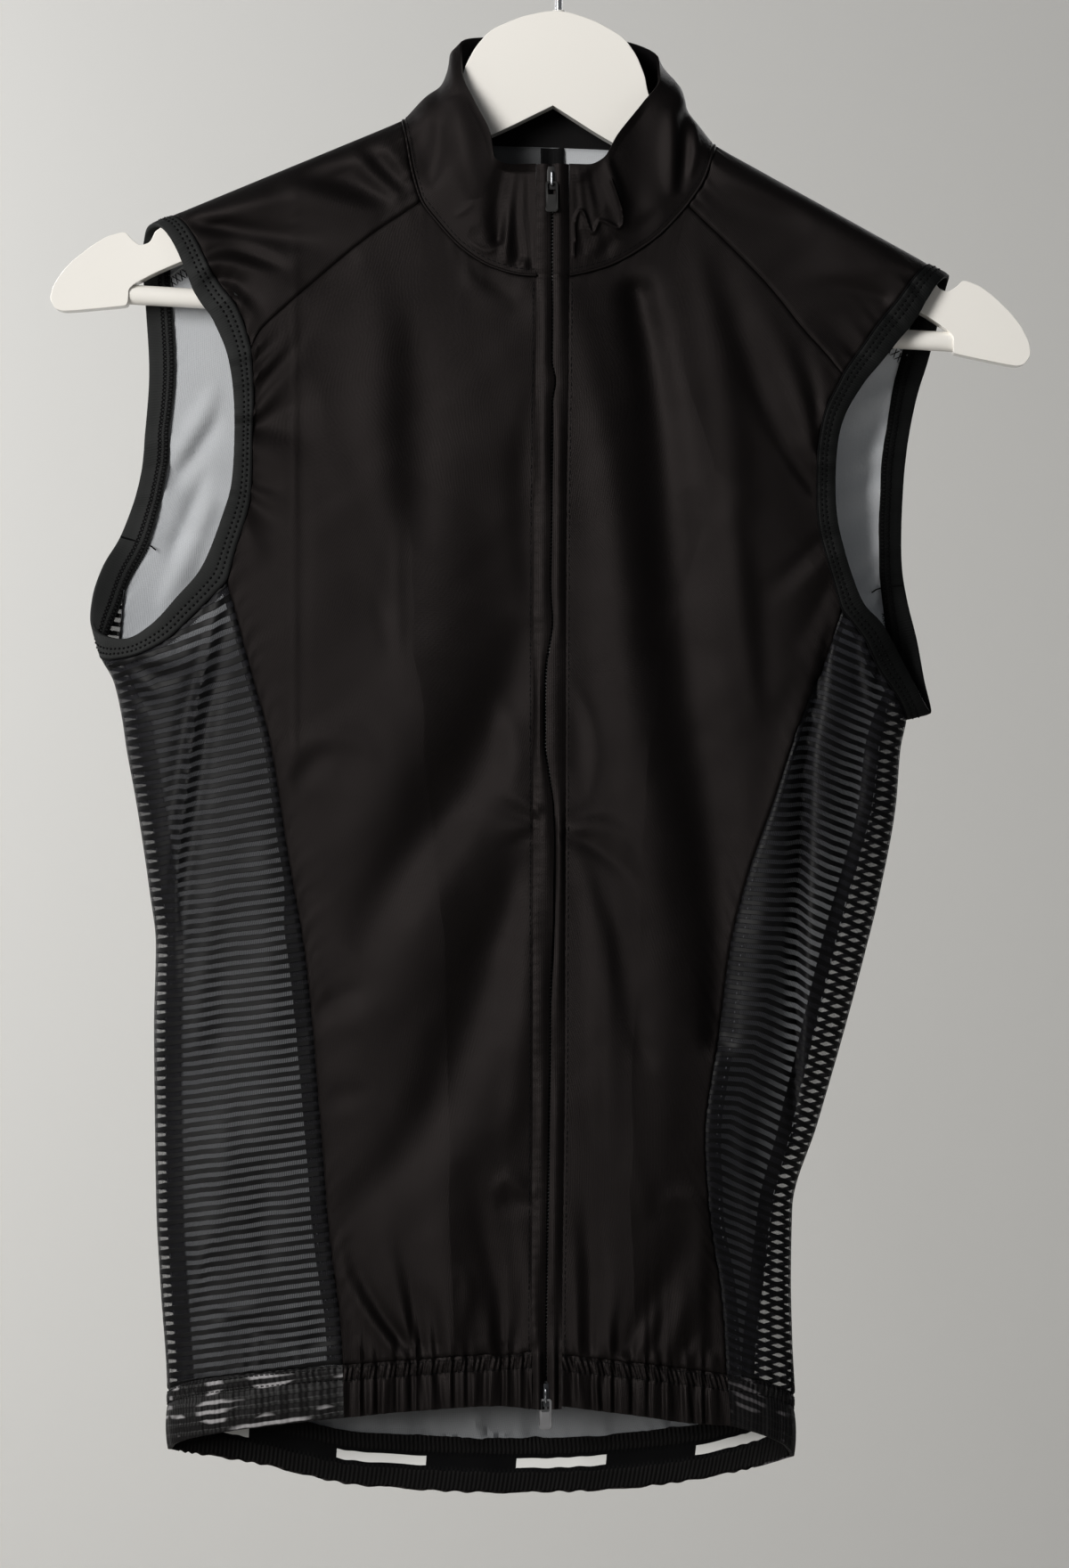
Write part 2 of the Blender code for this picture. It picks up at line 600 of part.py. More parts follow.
def yoke_neck(side):
    """The yoke's neck edge, from its front corner over the ridge to its back corner."""
    ridge_x, between = RIDGE_NECK[side]
    points = np.array([FRONT_YOKE[side][0], between, (ridge_x, float(ridge_down(ridge_x))), BACK_YOKE[side][0]])
    at = shoulder_at(points[:, 0], points[:, 1], np.array([1, 1, 0, -1]))
    return spline(at, even_rows(at * np.array([1.0, 4.4]), YOKE_ROWS))


def back_edges(arms):
    left = np.vstack([arms["left"]["back"]["at"][::-1], back_seam("left", SIDE_ROWS)[1:]])
    right = np.vstack([arms["right"]["back"]["at"][::-1], back_seam("right", SIDE_ROWS)[1:]])
    right[:, 0] -= 2 * np.pi
    return left, right


def hem_line(points, turns):
    """Heights of a hem outline at given turns."""
    points = np.asarray(points, float)
    middle_x, half = edges_at(BACK_HEM_TOP[0][1])
    x = middle_x - half * np.cos(turns)
    return smooth(points[:, 0], points[:, 1], x)


def back_panel(arms):
    left, right = back_edges(arms)
    top = np.vstack([
        divided(BACK_YOKE["left"], YOKE_COLUMNS)[::-1],
        divided(BACK_NECK, NECK_COLUMNS)[1:],
        divided(BACK_YOKE["right"], YOKE_COLUMNS)[1:],
    ])
    top = seam_points(top, -1, RING)
    turns = np.linspace(left[-1, 0], right[-1, 0], len(top))
    bottom = np.stack([turns, hem_line(BACK_HEM_TOP, turns)], -1)
    bottom[0], bottom[-1] = left[-1], right[-1]
    return panel("back", RING, coons(top, bottom, left, right))


def side_panel(side, arm):
    front = front_seam(side, SIDE_ROWS)
    back = back_seam(side, SIDE_ROWS)
    top = arm["side"]["at"]
    bottom = np.linspace(front[-1], back[-1], len(top))
    return panel(f"side_{side}", RING, coons(top, bottom, front, back), "side", lowered=SIDE_LOWERED)


def binding(side, arm):
    """The folded band round the armhole: a closed loop of cross-sections between the body edge and the rim."""
    loop = ARMHOLE[side]
    order = ("front", "side", "back", "yoke")
    body = np.vstack([arm[name]["kind"][0](arm[name]["at"])[:-1] for name in order])
    normal = np.vstack([outward(arm[name]["kind"][0], arm[name]["at"], arm[name]["kind"][1])[:-1] for name in order])
    rows = np.concatenate([arm[name]["rows"][:-1] for name in order]) % len(loop["x"])
    rim_table = np.stack([loop["rim_x"], loop["rim_down"], loop["draw"]], -1)
    rim_seen = spline(np.vstack([rim_table] * 3), rows + len(rim_table))
    middle = smooth(DEPTH["down"], DEPTH["middle"], rim_seen[:, 1])
    rim_y = middle + (body[:, 1] - middle) * rim_seen[:, 2]
    rim = to_true(np.stack([rim_seen[:, 0], rim_y, rim_seen[:, 1]], -1))
    over = shoulder_at(loop["rim_x"], loop["rim_down"], loop["face"])
    on_yoke = np.arange(len(rows)) >= len(rows) - YOKE_ROWS
    rim[on_yoke] = shoulder_point(spline(np.vstack([over] * 3), rows[on_yoke] + len(over)))
    reach = rim - body
    reach /= np.linalg.norm(reach, axis=1, keepdims=True)
    tangent = np.roll(body, -1, 0) - np.roll(body, 1, 0)
    thick = unit_cross(tangent, reach)
    thick *= np.sign((thick * normal).sum())
    away = unit_cross(normal, tangent)
    away *= np.sign((away * reach).sum())
    start = body + away * SEAM_SIDE
    middle_of = (start + rim) / 2
    low = BAND_RAISE - BAND_WALL
    profile = (
        start + normal * BAND_RAISE,
        middle_of + thick * (BAND_RAISE + 0.2),
        rim + thick * BAND_RAISE,
        rim + reach * 0.6 + thick * (BAND_RAISE + low) / 2,
        rim + thick * low,
        middle_of + thick * low,
        start + normal * low,
    )
    mesh = bmesh.new()
    rings = [[mesh.verts.new(Vector(line[k]) * 0.001) for line in profile] for k in range(len(body))]
    for a, b in zip(rings, rings[1:] + rings[:1]):
        for j in range(len(profile)):
            following = (j + 1) % len(profile)
            mesh.faces.new((a[j], a[following], b[following], b[j]))
    return finished(f"binding_{side}", mesh, "binding", 50)


# --- collar --------------------------------------------------------------------------------------------------------
def neck_seam():
    """True points of the whole neck seam from the zip's left round the back to its right."""
    left = ring_point(seam_points(divided(FRONT_NECK["left"], NECK_COLUMNS), 1, RING))
    right = ring_point(seam_points(divided(FRONT_NECK["right"], NECK_COLUMNS), 1, RING))
    over_left = shoulder_point(yoke_neck("left"))
    over_right = shoulder_point(yoke_neck("right"))
    back = ring_point(seam_points(divided(BACK_NECK, NECK_COLUMNS), -1, RING))
    return [left, over_left[1:], back[1:], over_right[::-1][1:], right[::-1][1:]]


def refined(points, times):
    share = np.arange(times)[None, :, None] / times
    between = points[:-1, None] * (1 - share) + points[1:, None] * share
    return np.vstack([between.reshape(-1, 3), points[-1:]])


def collar():
    left, over_left, back, over_right, right = neck_seam()
    middle = np.vstack([left[-1:], over_left, back, over_right])
    seam = np.vstack([refined(left, 4), refined(middle, 2)[1:], refined(np.vstack([middle[-1:], right]), 4)[1:]])
    length = np.concatenate([[0], np.cumsum(np.linalg.norm(np.diff(seam, axis=0), axis=1))])
    share = length / length[-1]
    top = to_true(np.stack([smooth(COLLAR_TOP["share"], COLLAR_TOP[name], share) for name in ("x", "y", "down")], -1))
    rows = np.linspace(0, 1, COLLAR_ROWS + 1)[:, None, None]
    points = top[None] + (seam - top)[None] * rows
    normal = np.cross(np.gradient(points, axis=1), np.gradient(points, axis=0))
    normal /= np.linalg.norm(normal, axis=-1, keepdims=True)
    from_zip = np.minimum(length, length[-1] - length)
    gathers = COLLAR_GATHERS
    fade = np.clip(1 - from_zip / gathers["reach"], 0, 1) * np.clip(from_zip / gathers["pitch"], 0, 1)
    wave = gathers["height"] * fade * np.sin(2 * np.pi * from_zip / gathers["pitch"])
    outer = drawn_in(points, SEAM_SIDE) + normal * (wave[None] * np.sin(np.pi * rows[..., 0]))[..., None]
    return closed_wall("collar", outer, outer - normal * WALL, "cloth")


# --- hems ----------------------------------------------------------------------------------------------------------
def ruffle(grid, pitch=RUFFLE_PITCH, height=RUFFLE_HEIGHT):
    """Waves along a hem band that grow from its seam to its edge."""
    points = ring_point(grid[-1])
    length = np.concatenate([[0], np.cumsum(np.linalg.norm(np.diff(points, axis=0), axis=1))])
    waves = max(1, round(length[-1] / pitch))
    rows = np.linspace(0, 1, len(grid))[:, None]
    grown = 0.35 + 0.65 * rows
    return height * grown * np.cos(2 * np.pi * waves * np.linspace(0, 1, len(points)))[None]


def band(top, edge, rows):
    share = np.linspace(0, 1, rows + 1)[:, None, None]
    return top[None] * (1 - share) + edge[None] * share


def front_hem(side):
    seam_down, zip_down = FRONT_HEM_TOP[side]
    seam = FRONT_SEAM[side]
    stitch = STITCH_LINE[side]
    start_x = float(smooth(seam["down"], seam["x"], seam_down))
    end_x = float(smooth(stitch["down"], stitch["x"], zip_down))
    waves = round(abs(end_x - start_x) / RUFFLE_PITCH)
    share = np.linspace(0, 1, waves * RUFFLE_STEPS + 1)
    x = start_x + (end_x - start_x) * share
    edge = np.array(FRONT_HEM_EDGE[side])
    order = np.argsort(edge[:, 0])
    edge_down = smooth(edge[order, 0], edge[order, 1], x)
    top = ring_at(x, seam_down + (zip_down - seam_down) * share, np.ones(len(x)))
    grid = band(top, ring_at(x, edge_down, np.ones(len(x))), 3)
    return panel(f"hem_front_{side}", RING, grid, wave=ruffle(grid))


def side_hem(side):
    seam_down = FRONT_HEM_TOP[side][0]
    edge_down = FRONT_HEM_EDGE[side][0][1]
    seam = FRONT_SEAM[side]
    seam_x = float(smooth(seam["down"], seam["x"], seam_down))
    share = np.linspace(0, 1, (40 if side == "left" else 24) + 1)[:, None]
    lines = []
    for front_down, back_down in ((seam_down, SIDE_HEM_TOP[side]), (edge_down, SIDE_HEM_EDGE[side])):
        start = ring_at(seam_x, front_down, 1)
        end = np.array([float(back_seam_turn(side, back_down)), back_down])
        lines.append(start * (1 - share) + end * share)
    grid = band(*lines, 2)
    return panel(f"hem_side_{side}", RING, grid, "side", wave=ruffle(grid, 7.5, 0.6))


def back_hem_grid(columns, rows, lower):
    left = float(back_seam_turn("left", SIDE_HEM_TOP["left"]))
    right = float(back_seam_turn("right", SIDE_HEM_TOP["right"])) - 2 * np.pi
    turns = np.linspace(left, right, columns + 1)
    top = np.stack([turns, hem_line(BACK_HEM_TOP, turns)], -1)
    edge = np.stack([turns, hem_line(BACK_HEM_EDGE, turns) - lower], -1)
    return band(top, edge, rows)


def back_hem():
    return panel("hem_back", RING, back_hem_grid(24, 2, 0.0))


def gripper_tape():
    """The elastic tape inside the back hem."""
    grid = back_hem_grid(24, 2, 1.0)[:, 1:-1]
    return panel("gripper_tape", RING, grid, "gripper", wall=1.0, under=WALL + GAP)


# --- zip -----------------------------------------------------------------------------------------------------------
ZIP_ROWS = np.linspace(COLLAR_TOP["down"][0] + GAP, FRONT_HEM_EDGE["left"][-1][1], 34)


def zip_front(down, x):
    """Y of the centre front, which carries on up the collar."""
    at_neck = float(FRONT_NECK["left"][0][1])
    on_body = surface_y(x, np.maximum(down, at_neck), 1)
    collar_top = COLLAR_TOP["down"][0]
    share = np.clip((at_neck - down) / (at_neck - collar_top), 0, 1)
    return on_body + (COLLAR_TOP["y"][0] - on_body) * share


def zip_strip(name, down, left_x, right_x, colour, wall, under):
    """A strip that follows the centre front between two lines."""
    share = np.linspace(0, 1, 3)[None, :]
    x = left_x[:, None] * (1 - share) + right_x[:, None] * share
    downs = np.broadcast_to(down[:, None], x.shape)
    points = to_true(np.stack([x, zip_front(downs, x), downs], -1))
    backwards = np.array([0.0, 1.0, 0.0])
    outer = points + backwards * under
    return closed_wall(name, outer, outer + backwards * wall, colour)


def placket(side):
    stitch = smooth(STITCH_LINE[side]["down"], STITCH_LINE[side]["x"], ZIP_ROWS)
    centre = smooth(ZIP_LINE["down"], ZIP_LINE["x"], ZIP_ROWS)
    sign = -1 if side == "left" else 1
    edges = (stitch - sign * GAP / 2, centre + sign * ZIP_GAP / 2)
    return zip_strip(f"placket_{side}", ZIP_ROWS, *edges, "cloth", WALL, 0.0)


def zip_tape():
    first = SLIDER["top_down"] + SLIDER_LENGTH + GAP
    last = SLIDER["bottom_down"] - GAP
    down = np.concatenate([[first], ZIP_ROWS[(ZIP_ROWS > first + 1) & (ZIP_ROWS < last - 1)], [last]])
    centre = smooth(ZIP_LINE["down"], ZIP_LINE["x"], down)
    half = ZIP_TAPE["half_width"]
    return zip_strip("zip_tape", down, centre - half, centre + half, "zip", ZIP_TAPE["thick"], WALL + GAP)


def box(mesh, low, high):
    """A plain box added to a bmesh."""
    low, high = Vector(low), Vector(high)
    made = bmesh.ops.create_cube(mesh, size=1)
    for vert in made["verts"]:
        vert.co = (low + high) / 2 + Vector([c * s for c, s in zip(vert.co, high - low)])


def pierced_plate(name, outer, hole, low, high, colour):
    """An upright plate with a hole, between two values of Y. Both outlines have the same number of points."""
    mesh = bmesh.new()
    rings = []
    for outline, level in ((outer, low), (hole, low), (hole, high), (outer, high)):
        ring = []
        for a, b in outline:
            ring.append(mesh.verts.new(Vector((a, level, b)) * 0.001))
        rings.append(ring)
    for a, b in zip(rings, rings[1:] + rings[:1]):
        for j in range(len(outer)):
            k = (j + 1) % len(outer)
            mesh.faces.new((a[j], a[k], b[k], b[j]))
    return finished(name, mesh, colour)


def slider_place(which):
    down = SLIDER[f"{which}_down"]
    x = float(smooth(ZIP_LINE["down"], ZIP_LINE["x"], down))
    ys = [float(zip_front(np.float64(d), x)) for d in (down, down + SLIDER_LENGTH)]
    place = to_true([x, min(ys), down])
    return *place, max(ys) - min(ys)


def slider(which, colour):
    """The slider: wings behind the plackets, a web through their gap, a plate in front and the arch for the pull."""
    x, y, z, lean = slider_place(which)
    half, web, wide = ARCH["half_width"], ARCH["web"] / 2, WINGS["half_width"]
    face, front = y - GAP, y - GAP - ARCH["plate"]
    strip = front - ARCH["clear"]
    top, foot = z - ARCH["top"], z - ARCH["foot"]
    wings, end = y + lean + WALL + GAP, z - SLIDER_LENGTH
    joint = GAP  # how far two boxes that become one run into each other
    body = solid_box(f"slider_{which}", (x - half, front, end), (x + half, wings + joint, z), colour)
    for name, low, high, operation in (
        ("arch", (x - half, strip - ARCH["strip"], foot), (x + half, front + joint, top), "UNION"),
        ("eye", (x - wide, strip, foot + ARCH["leg"]), (x + wide, front, top - ARCH["leg"]), "DIFFERENCE"),
        ("notch_left", (x - wide, face, end - wide), (x - web, wings, z + wide), "DIFFERENCE"),
        ("notch_right", (x + web, face, end - wide), (x + wide, wings, z + wide), "DIFFERENCE"),
        ("wings", (x - wide, wings, end), (x + wide, wings + WINGS["thick"], z), "UNION"),
    ):
        boolean(body, name, low, high, operation, colour)
    return body


def solid_box(name, low, high, colour):
    mesh = bmesh.new()
    box(mesh, Vector(low) * 0.001, Vector(high) * 0.001)
    return finished(name, mesh, colour)


def boolean(target, name, low, high, operation, colour):
    cutter = solid_box(f"{target.name}_{name}", low, high, colour)
    cutter.hide_render = True
    cutter.display_type = "WIRE"
    step = target.modifiers.new(name, "BOOLEAN")
    step.operation = operation
    step.object = cutter


def pull_axis(which):
    """Centre of the pull's top bar, which rests on the foot of the slider's arch."""
    x, y, z, _ = slider_place(which)
    axis_y = y - GAP - ARCH["plate"] - GAP - PULL["thick"] / 2
    axis_z = z - ARCH["foot"] + ARCH["leg"] + GAP + PULL["bar"] / 2
    return x, axis_y, axis_z


def cut_corners(half, x, top, foot, top_cut, foot_cut):
    """A rectangle with its corners cut, from its top left round to its left side."""
    return [
        (x - half + top_cut, top), (x + half - top_cut, top), (x + half, top - top_cut), (x + half, foot + foot_cut),
        (x + half - foot_cut, foot), (x - half + foot_cut, foot), (x - half, foot + foot_cut), (x - half, top - top_cut),
    ]


def pull(which, colour):
    """A flat tab with a window, by whose top bar it hangs in the slider's arch."""
    x, y, z = pull_axis(which)
    half_bar, thick = PULL["bar"] / 2, PULL["thick"] / 2
    top, foot = z + half_bar, z - PULL["length"]
    outer = cut_corners(PULL["half_width"], x, top, foot, PULL["top_cut"], PULL["foot_cut"])
    high, low = z - half_bar, z - half_bar - PULL["window_height"]
    hole = cut_corners(PULL["window"], x, high, low, PULL["window_cut"], PULL["window_cut"])
    made = pierced_plate(f"pull_{which}", outer, hole, y - thick, y + thick, colour)
    axis = Vector((x, y, z)) * 0.001
    made.data.transform(Matrix.Translation(-axis))
    made.location = axis
    return made


# --- label ---------------------------------------------------------------------------------------------------------
def neck_label():
    """A small plain label inside the back, just under the neck seam."""
    x = np.linspace(LABEL["left"], LABEL["right"], 5)
    down = np.linspace(LABEL["top"], LABEL["foot"], 5)
    grid = np.array([[ring_at(a, b, -1) for a in x] for b in down])
    return panel("neck_label", RING, grid, "label", wall=1.0, under=WALL + GAP, sides="")


# --- hanger --------------------------------------------------------------------------------------------------------
def hanger_half():
    """Half of the hanger's outline, untilted, from the top of its middle to its V: (x, below the plate's top)."""
    rise = math.tan(ARM_SLOPE)
    arm_top = ARM_APEX + ARM_UNDER / math.cos(ARM_SLOPE)

    def on_top(x):
        return x, arm_top + rise * x

    def under(x):
        return x, 54.1 + 0.475 * (x - 24.0)

    return [
        (4.0, 0.0), (16.0, 3.2), (28.5, 9.5), (34.5, 17.0), (38.5, 25.5), (40.0, 32.0), (42.5, 37.5),
        on_top(47.5), on_top(100.0), on_top(166.5),
        (168.8, 108.9), (173.2, 110.6), (177.0, 108.0), (179.8, 104.8),
        (187.5, 107.3), (193.5, 111.5), (200.5, 117.5), (205.5, 123.0), (209.5, 130.0), (210.5, 135.5),
        (208.0, 139.6), (204.0, 140.6),
        (BAR["reach"] + 3.0, 137.0), (BAR["reach"], 136.2), under(BAR["reach"]),
        under(110.0), (24.0, 54.1), (0.0, 40.5),
    ]


def tilted(x, below):
    """An untilted hanger point to its place."""
    return (
        x * math.cos(HANGER_TILT) - below * math.sin(HANGER_TILT),
        -PLATE_TOP_DOWN - below * math.cos(HANGER_TILT) - x * math.sin(HANGER_TILT),
    )


def hanger():
    half = hanger_half()
    outline = half + [(-x, below) for x, below in reversed(half[:-1])]
    mesh = bmesh.new()
    verts = []
    for x, below in outline:
        place_x, place_z = tilted(x, below)
        verts.append(mesh.verts.new(Vector((place_x, HANGER_THICK / 2, place_z)) * 0.001))
    face = mesh.faces.new(verts)
    made = bmesh.ops.extrude_face_region(mesh, geom=[face])
    moved = [item for item in made["geom"] if isinstance(item, bmesh.types.BMVert)]
    bmesh.ops.translate(mesh, verts=moved, vec=(0, -HANGER_THICK * 0.001, 0))
    rounded = mesh.edges.layers.float.new("bevel_weight_edge")
    for edge in mesh.edges:
        edge[rounded] = float(abs(edge.verts[0].co.y - edge.verts[1].co.y) < 1e-6)
    plate = finished("hanger", mesh, "hanger")
    bevel = plate.modifiers.new("rounded edges", "BEVEL")
    bevel.width = HANGER_EDGE * 0.001
    bevel.segments = 3
    bevel.limit_method = "WEIGHT"
    return plate


def tube(name, route, radius, sides, colour):
    """A round bar along points, as a curve with filled ends."""
    data = bpy.data.curves.new(name, "CURVE")
    data.dimensions = "3D"
    data.bevel_depth = radius * 0.001
    data.bevel_resolution = (sides - 4) // 2
    data.use_fill_caps = True
    line = data.splines.new("POLY")
    line.points.add(len(route) - 1)
    for point, place in zip(line.points, route):
        point.co = (*(Vector(place) * 0.001), 1)
    line.use_smooth = True
    made = bpy.data.objects.new(name, data)
    made.data.materials.append(material(colour))
    bpy.context.collection.objects.link(made)
    return made


def hanger_bar():
    reach = BAR["reach"] - GAP
    ends = [tilted(x, BAR["below"]) for x in (-reach, -reach / 2, 0, reach / 2, reach)]
    return tube("hanger_bar", [(x, 0, z) for x, z in ends], BAR["radius"], BAR["sides"], "hanger")


def hanger_hook():
    """A wire hook: a stem out of the plate, then round over the rail, which it meets at the origin."""
    radius, wire = HOOK["radius"], HOOK["wire"]
    centre_z = wire - radius
    start = math.radians(HOOK["start"])
    join = (radius * math.cos(start), centre_z + radius * math.sin(start))
    first = (0.0, -PLATE_TOP_DOWN + HOOK["straight"])
    corner = (0.0, join[1] - HOOK["lead"])
    route = [(0, 0, -PLATE_TOP_DOWN + GAP), (0, 0, first[1])]
    for step in range(1, 6):
        t = step / 6
        a = [(1 - t) * p + t * q for p, q in zip(first, corner)]
        b = [(1 - t) * p + t * q for p, q in zip(corner, join)]
        x, z = ((1 - t) * p + t * q for p, q in zip(a, b))
        route.append((x, 0, z))
    for step in range(25):
        angle = start + math.radians(HOOK["sweep"]) * step / 24
        route.append((radius * math.cos(angle), 0, centre_z + radius * math.sin(angle)))
    return tube("hanger_hook", route, wire, HOOK["sides"], "steel")


# --- everything ----------------------------------------------------------------------------------------------------
def clear_scene():
    for item in list(bpy.data.objects):
        bpy.data.objects.remove(item, do_unlink=True)


def build():
    clear_scene()
    arms = {side: armhole_stations(side) for side in ("left", "right")}
    back_panel(arms)
    for side, arm in arms.items():
        front_panel(side, arm)
        yoke(side, arm)
        side_panel(side, arm)
        binding(side, arm)
        front_hem(side)
        side_hem(side)
        placket(side)
    collar()
    back_hem()
    gripper_tape()
    neck_label()
    zip_tape()
    slider("top", "pale metal")
    slider("bottom", "dark metal")
    pull("top", "dark metal")
    pull("bottom", "pale metal")
    hanger()
    hanger_bar()
    hanger_hook()


build()
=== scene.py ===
"""The looks of a black cycling gilet that hangs on a white plastic hanger.

Sizes are in millimetres until a mesh is made. X runs to the viewer's right, Y away from the viewer and Z up. The
origin is where the rail touches the inside of the hook. Heights are given as `down`, the distance below it.

The outlines are given as they look from the front, measured in the hanger's plane. A point that lies nearer to the
viewer than that plane is really a little closer to the line of sight, and to_true() moves it there.
"""

import math

import bmesh
import bpy
import numpy as np
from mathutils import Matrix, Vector


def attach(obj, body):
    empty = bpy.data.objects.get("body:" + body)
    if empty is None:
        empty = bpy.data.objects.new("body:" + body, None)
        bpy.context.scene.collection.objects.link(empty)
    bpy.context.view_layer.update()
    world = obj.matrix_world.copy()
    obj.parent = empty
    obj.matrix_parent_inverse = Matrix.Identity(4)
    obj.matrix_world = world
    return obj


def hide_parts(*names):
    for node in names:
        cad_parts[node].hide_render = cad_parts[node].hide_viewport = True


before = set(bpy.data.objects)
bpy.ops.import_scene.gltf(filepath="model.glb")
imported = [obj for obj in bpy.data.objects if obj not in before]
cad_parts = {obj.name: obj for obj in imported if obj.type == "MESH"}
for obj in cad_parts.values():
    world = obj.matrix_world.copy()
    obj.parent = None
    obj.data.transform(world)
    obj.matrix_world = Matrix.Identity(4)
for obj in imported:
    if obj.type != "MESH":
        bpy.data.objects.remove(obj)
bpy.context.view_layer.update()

# --- driving sizes -------------------------------------------------------------------------------------------------
VIEW_DISTANCE = 1900.0
VIEW_X, VIEW_DOWN = -10.3, 386.0
VIEW_HEIGHT = 673.2  # of the hanger's plane that the photograph takes in
SENSOR = 36.0

WALL = 1.0  # cloth
GAP = 0.3  # between pieces that are sewn together
BAND_WALL = 2.0  # the folded armhole binding
BAND_RAISE = 0.4  # how far the binding stands above the panel it edges
BAND_WIDE = 9.6  # as its paint runs
HEM_WALL = 1.6  # cloth turned double

PLATE_TOP_DOWN = 55.0  # the hanger's top below the rail
HANGER_THICK = 10.0
ARM_SLOPE = math.radians(25.7)
HANGER_TILT = math.radians(3.3)  # the right arm hangs lower
ARM_APEX = 19.2  # below the plate's top, where the two shoulder lines would meet
ARM_UNDER = 2.7  # the arm's top below the outside of the cloth that rests on it
SHOULDER_ROUND = 10.5  # radius of the cloth over the arm
SHOULDER_REACH = 160.0  # distance below the shoulder over which the bag opens to its full depth
SECTION_FULLNESS = 1.6  # how soon the section reaches its full depth from the side edge

YOKE_COLUMNS, YOKE_ROWS, NECK_COLUMNS = 48, 84, 32
ARM_ROWS, SIDE_ROWS, SIDE_COLUMNS = 44, 150, 56
COLLAR_ROWS = 74
SIDES = ("left", "right")


def rows_of(text):
    """Rows of numbers, divided by commas."""
    return [tuple(float(number) for number in row.split()) for row in text.split(",")]


def table(names, text):
    """Rows of numbers under named columns."""
    return dict(zip(names.split(), np.array(rows_of(text)).T))


def folds(text):
    """Folds, one to a line, as rows of numbers. A line that ends with a comma carries on, and # starts a remark."""
    lines = text.strip().replace(",\n", ", ").splitlines()
    return [rows_of(line) for line in lines if not line.startswith("#")]


# The side edges of the bag. Above the underarm they only set how the front and back round away.
OUTLINE = table("down left right", """
    150 -217 187, 230 -216 186, 255 -212 181, 281 -207 171, 297 -202 163.5, 311 -199 158, 330 -197 153.5,
    342 -191 151.5, 358 -187.4 149.6, 371 -185.5 146.9, 394 -181.3 145, 432 -175.6 138.1, 455 -172.9 132.5,
    490 -173.7 123.2, 532 -173.3 111.1, 568 -172.7 100.4, 600 -171 99.8, 646 -167.9 101, 700 -167 101""")
# Depth of the bag in front of and behind its middle, and where that middle lies.
DEPTH = table("down front back middle", """
    100 18 9.5 0, 168 19 10 0, 250 22 11 1, 330 25 11 3, 450 25 11 3, 600 23 11 2.5, 655 21 11 2, 700 21 11 2""")

# Seams, as (x, down) points on the front or the back.
FRONT_YOKE = {
    "left": rows_of("-59.3 135.7, -81.9 151, -102.1 167.5, -117.4 180.8, -127.8 190.8, -132.3 199.2"),
    "right": rows_of("55.5 137.2, 73.8 154.8, 90.3 171.7, 104.4 189.3, 114.8 200.7, 122.4 210.3"),
}
BACK_YOKE = {
    "left": rows_of("-61.6 107, -83 118.5, -106 130.7, -128.9 143.7, -149.9 156, -169.1 169.8"),
    "right": rows_of("62.3 120, 81.5 137.6, 100.6 156.7, 117.8 172.8, 135 188.9, 149.6 202.6"),
}
FRONT_NECK = {
    "left": rows_of("-9.6 167.5, -17.2 167.1, -30.6 162.9, -42.1 155.2, -49.7 147.2, -59.3 135.7"),
    "right": rows_of("4.6 167.5, 12.6 165.9, 25.2 161.7, 42.1 151, 55.5 137.2"),
}
RIDGE_NECK = {"left": (-66.6, (-63.9, 117.0)), "right": (66.9, (63.5, 123.8))}
BACK_NECK = rows_of("-61.6 107, -37.1 111.6, -4.2 113.1, 27.9 114.7, 62.3 120")
FRONT_SEAM = {
    "left": table("down x", """
    298.7 -142.7, 320.1 -136.9, 341.5 -131.2, 368.6 -123.9, 411.5 -117, 465.8 -108.2, 534.3 -102.1, 582.5 -98.3,
    623.4 -93.3, 658.2 -92.2"""),
    "right": table("down x", """
    311.3 122, 340 112.1, 365.2 102.1, 395.4 91.8, 429.1 79.9, 455.9 73.4, 496.4 68.5, 538.5 63.1, 572.5 65.4,
    604.3 70, 661.6 73.8"""),
}
# The seam of side panel and back, as its distance from the side edge: negative, because it lies behind it.
BACK_SEAM = {
    "left": table("down inset", "296.7 -15.9, 312 -11, 335 -7.5, 365 -5.5, 480 -4.5, 700 -4"),
    "right": table("down inset", """
    325.8 -10.2, 342 -9.2, 362 -8.8, 390 -9.5, 450 -13.5, 520 -11, 560 -8, 590 -10.5, 648 -17, 700 -17"""),
}
STITCH_LINE = {
    "left": table("down x", "119 -9.6, 168 -9.6, 287 -10.7, 509 -11.1, 623 -11.5, 700 -11.2"),
    "right": table("down x", "119 4.6, 168 4.6, 287 3.4, 509 2.7, 623 1.5, 700 1.3"),
}
ZIP_LINE = table("down x", "119 -2.9, 168 -2.9, 287 -4, 509 -4.4, 623 -5.5, 700 -5.6")

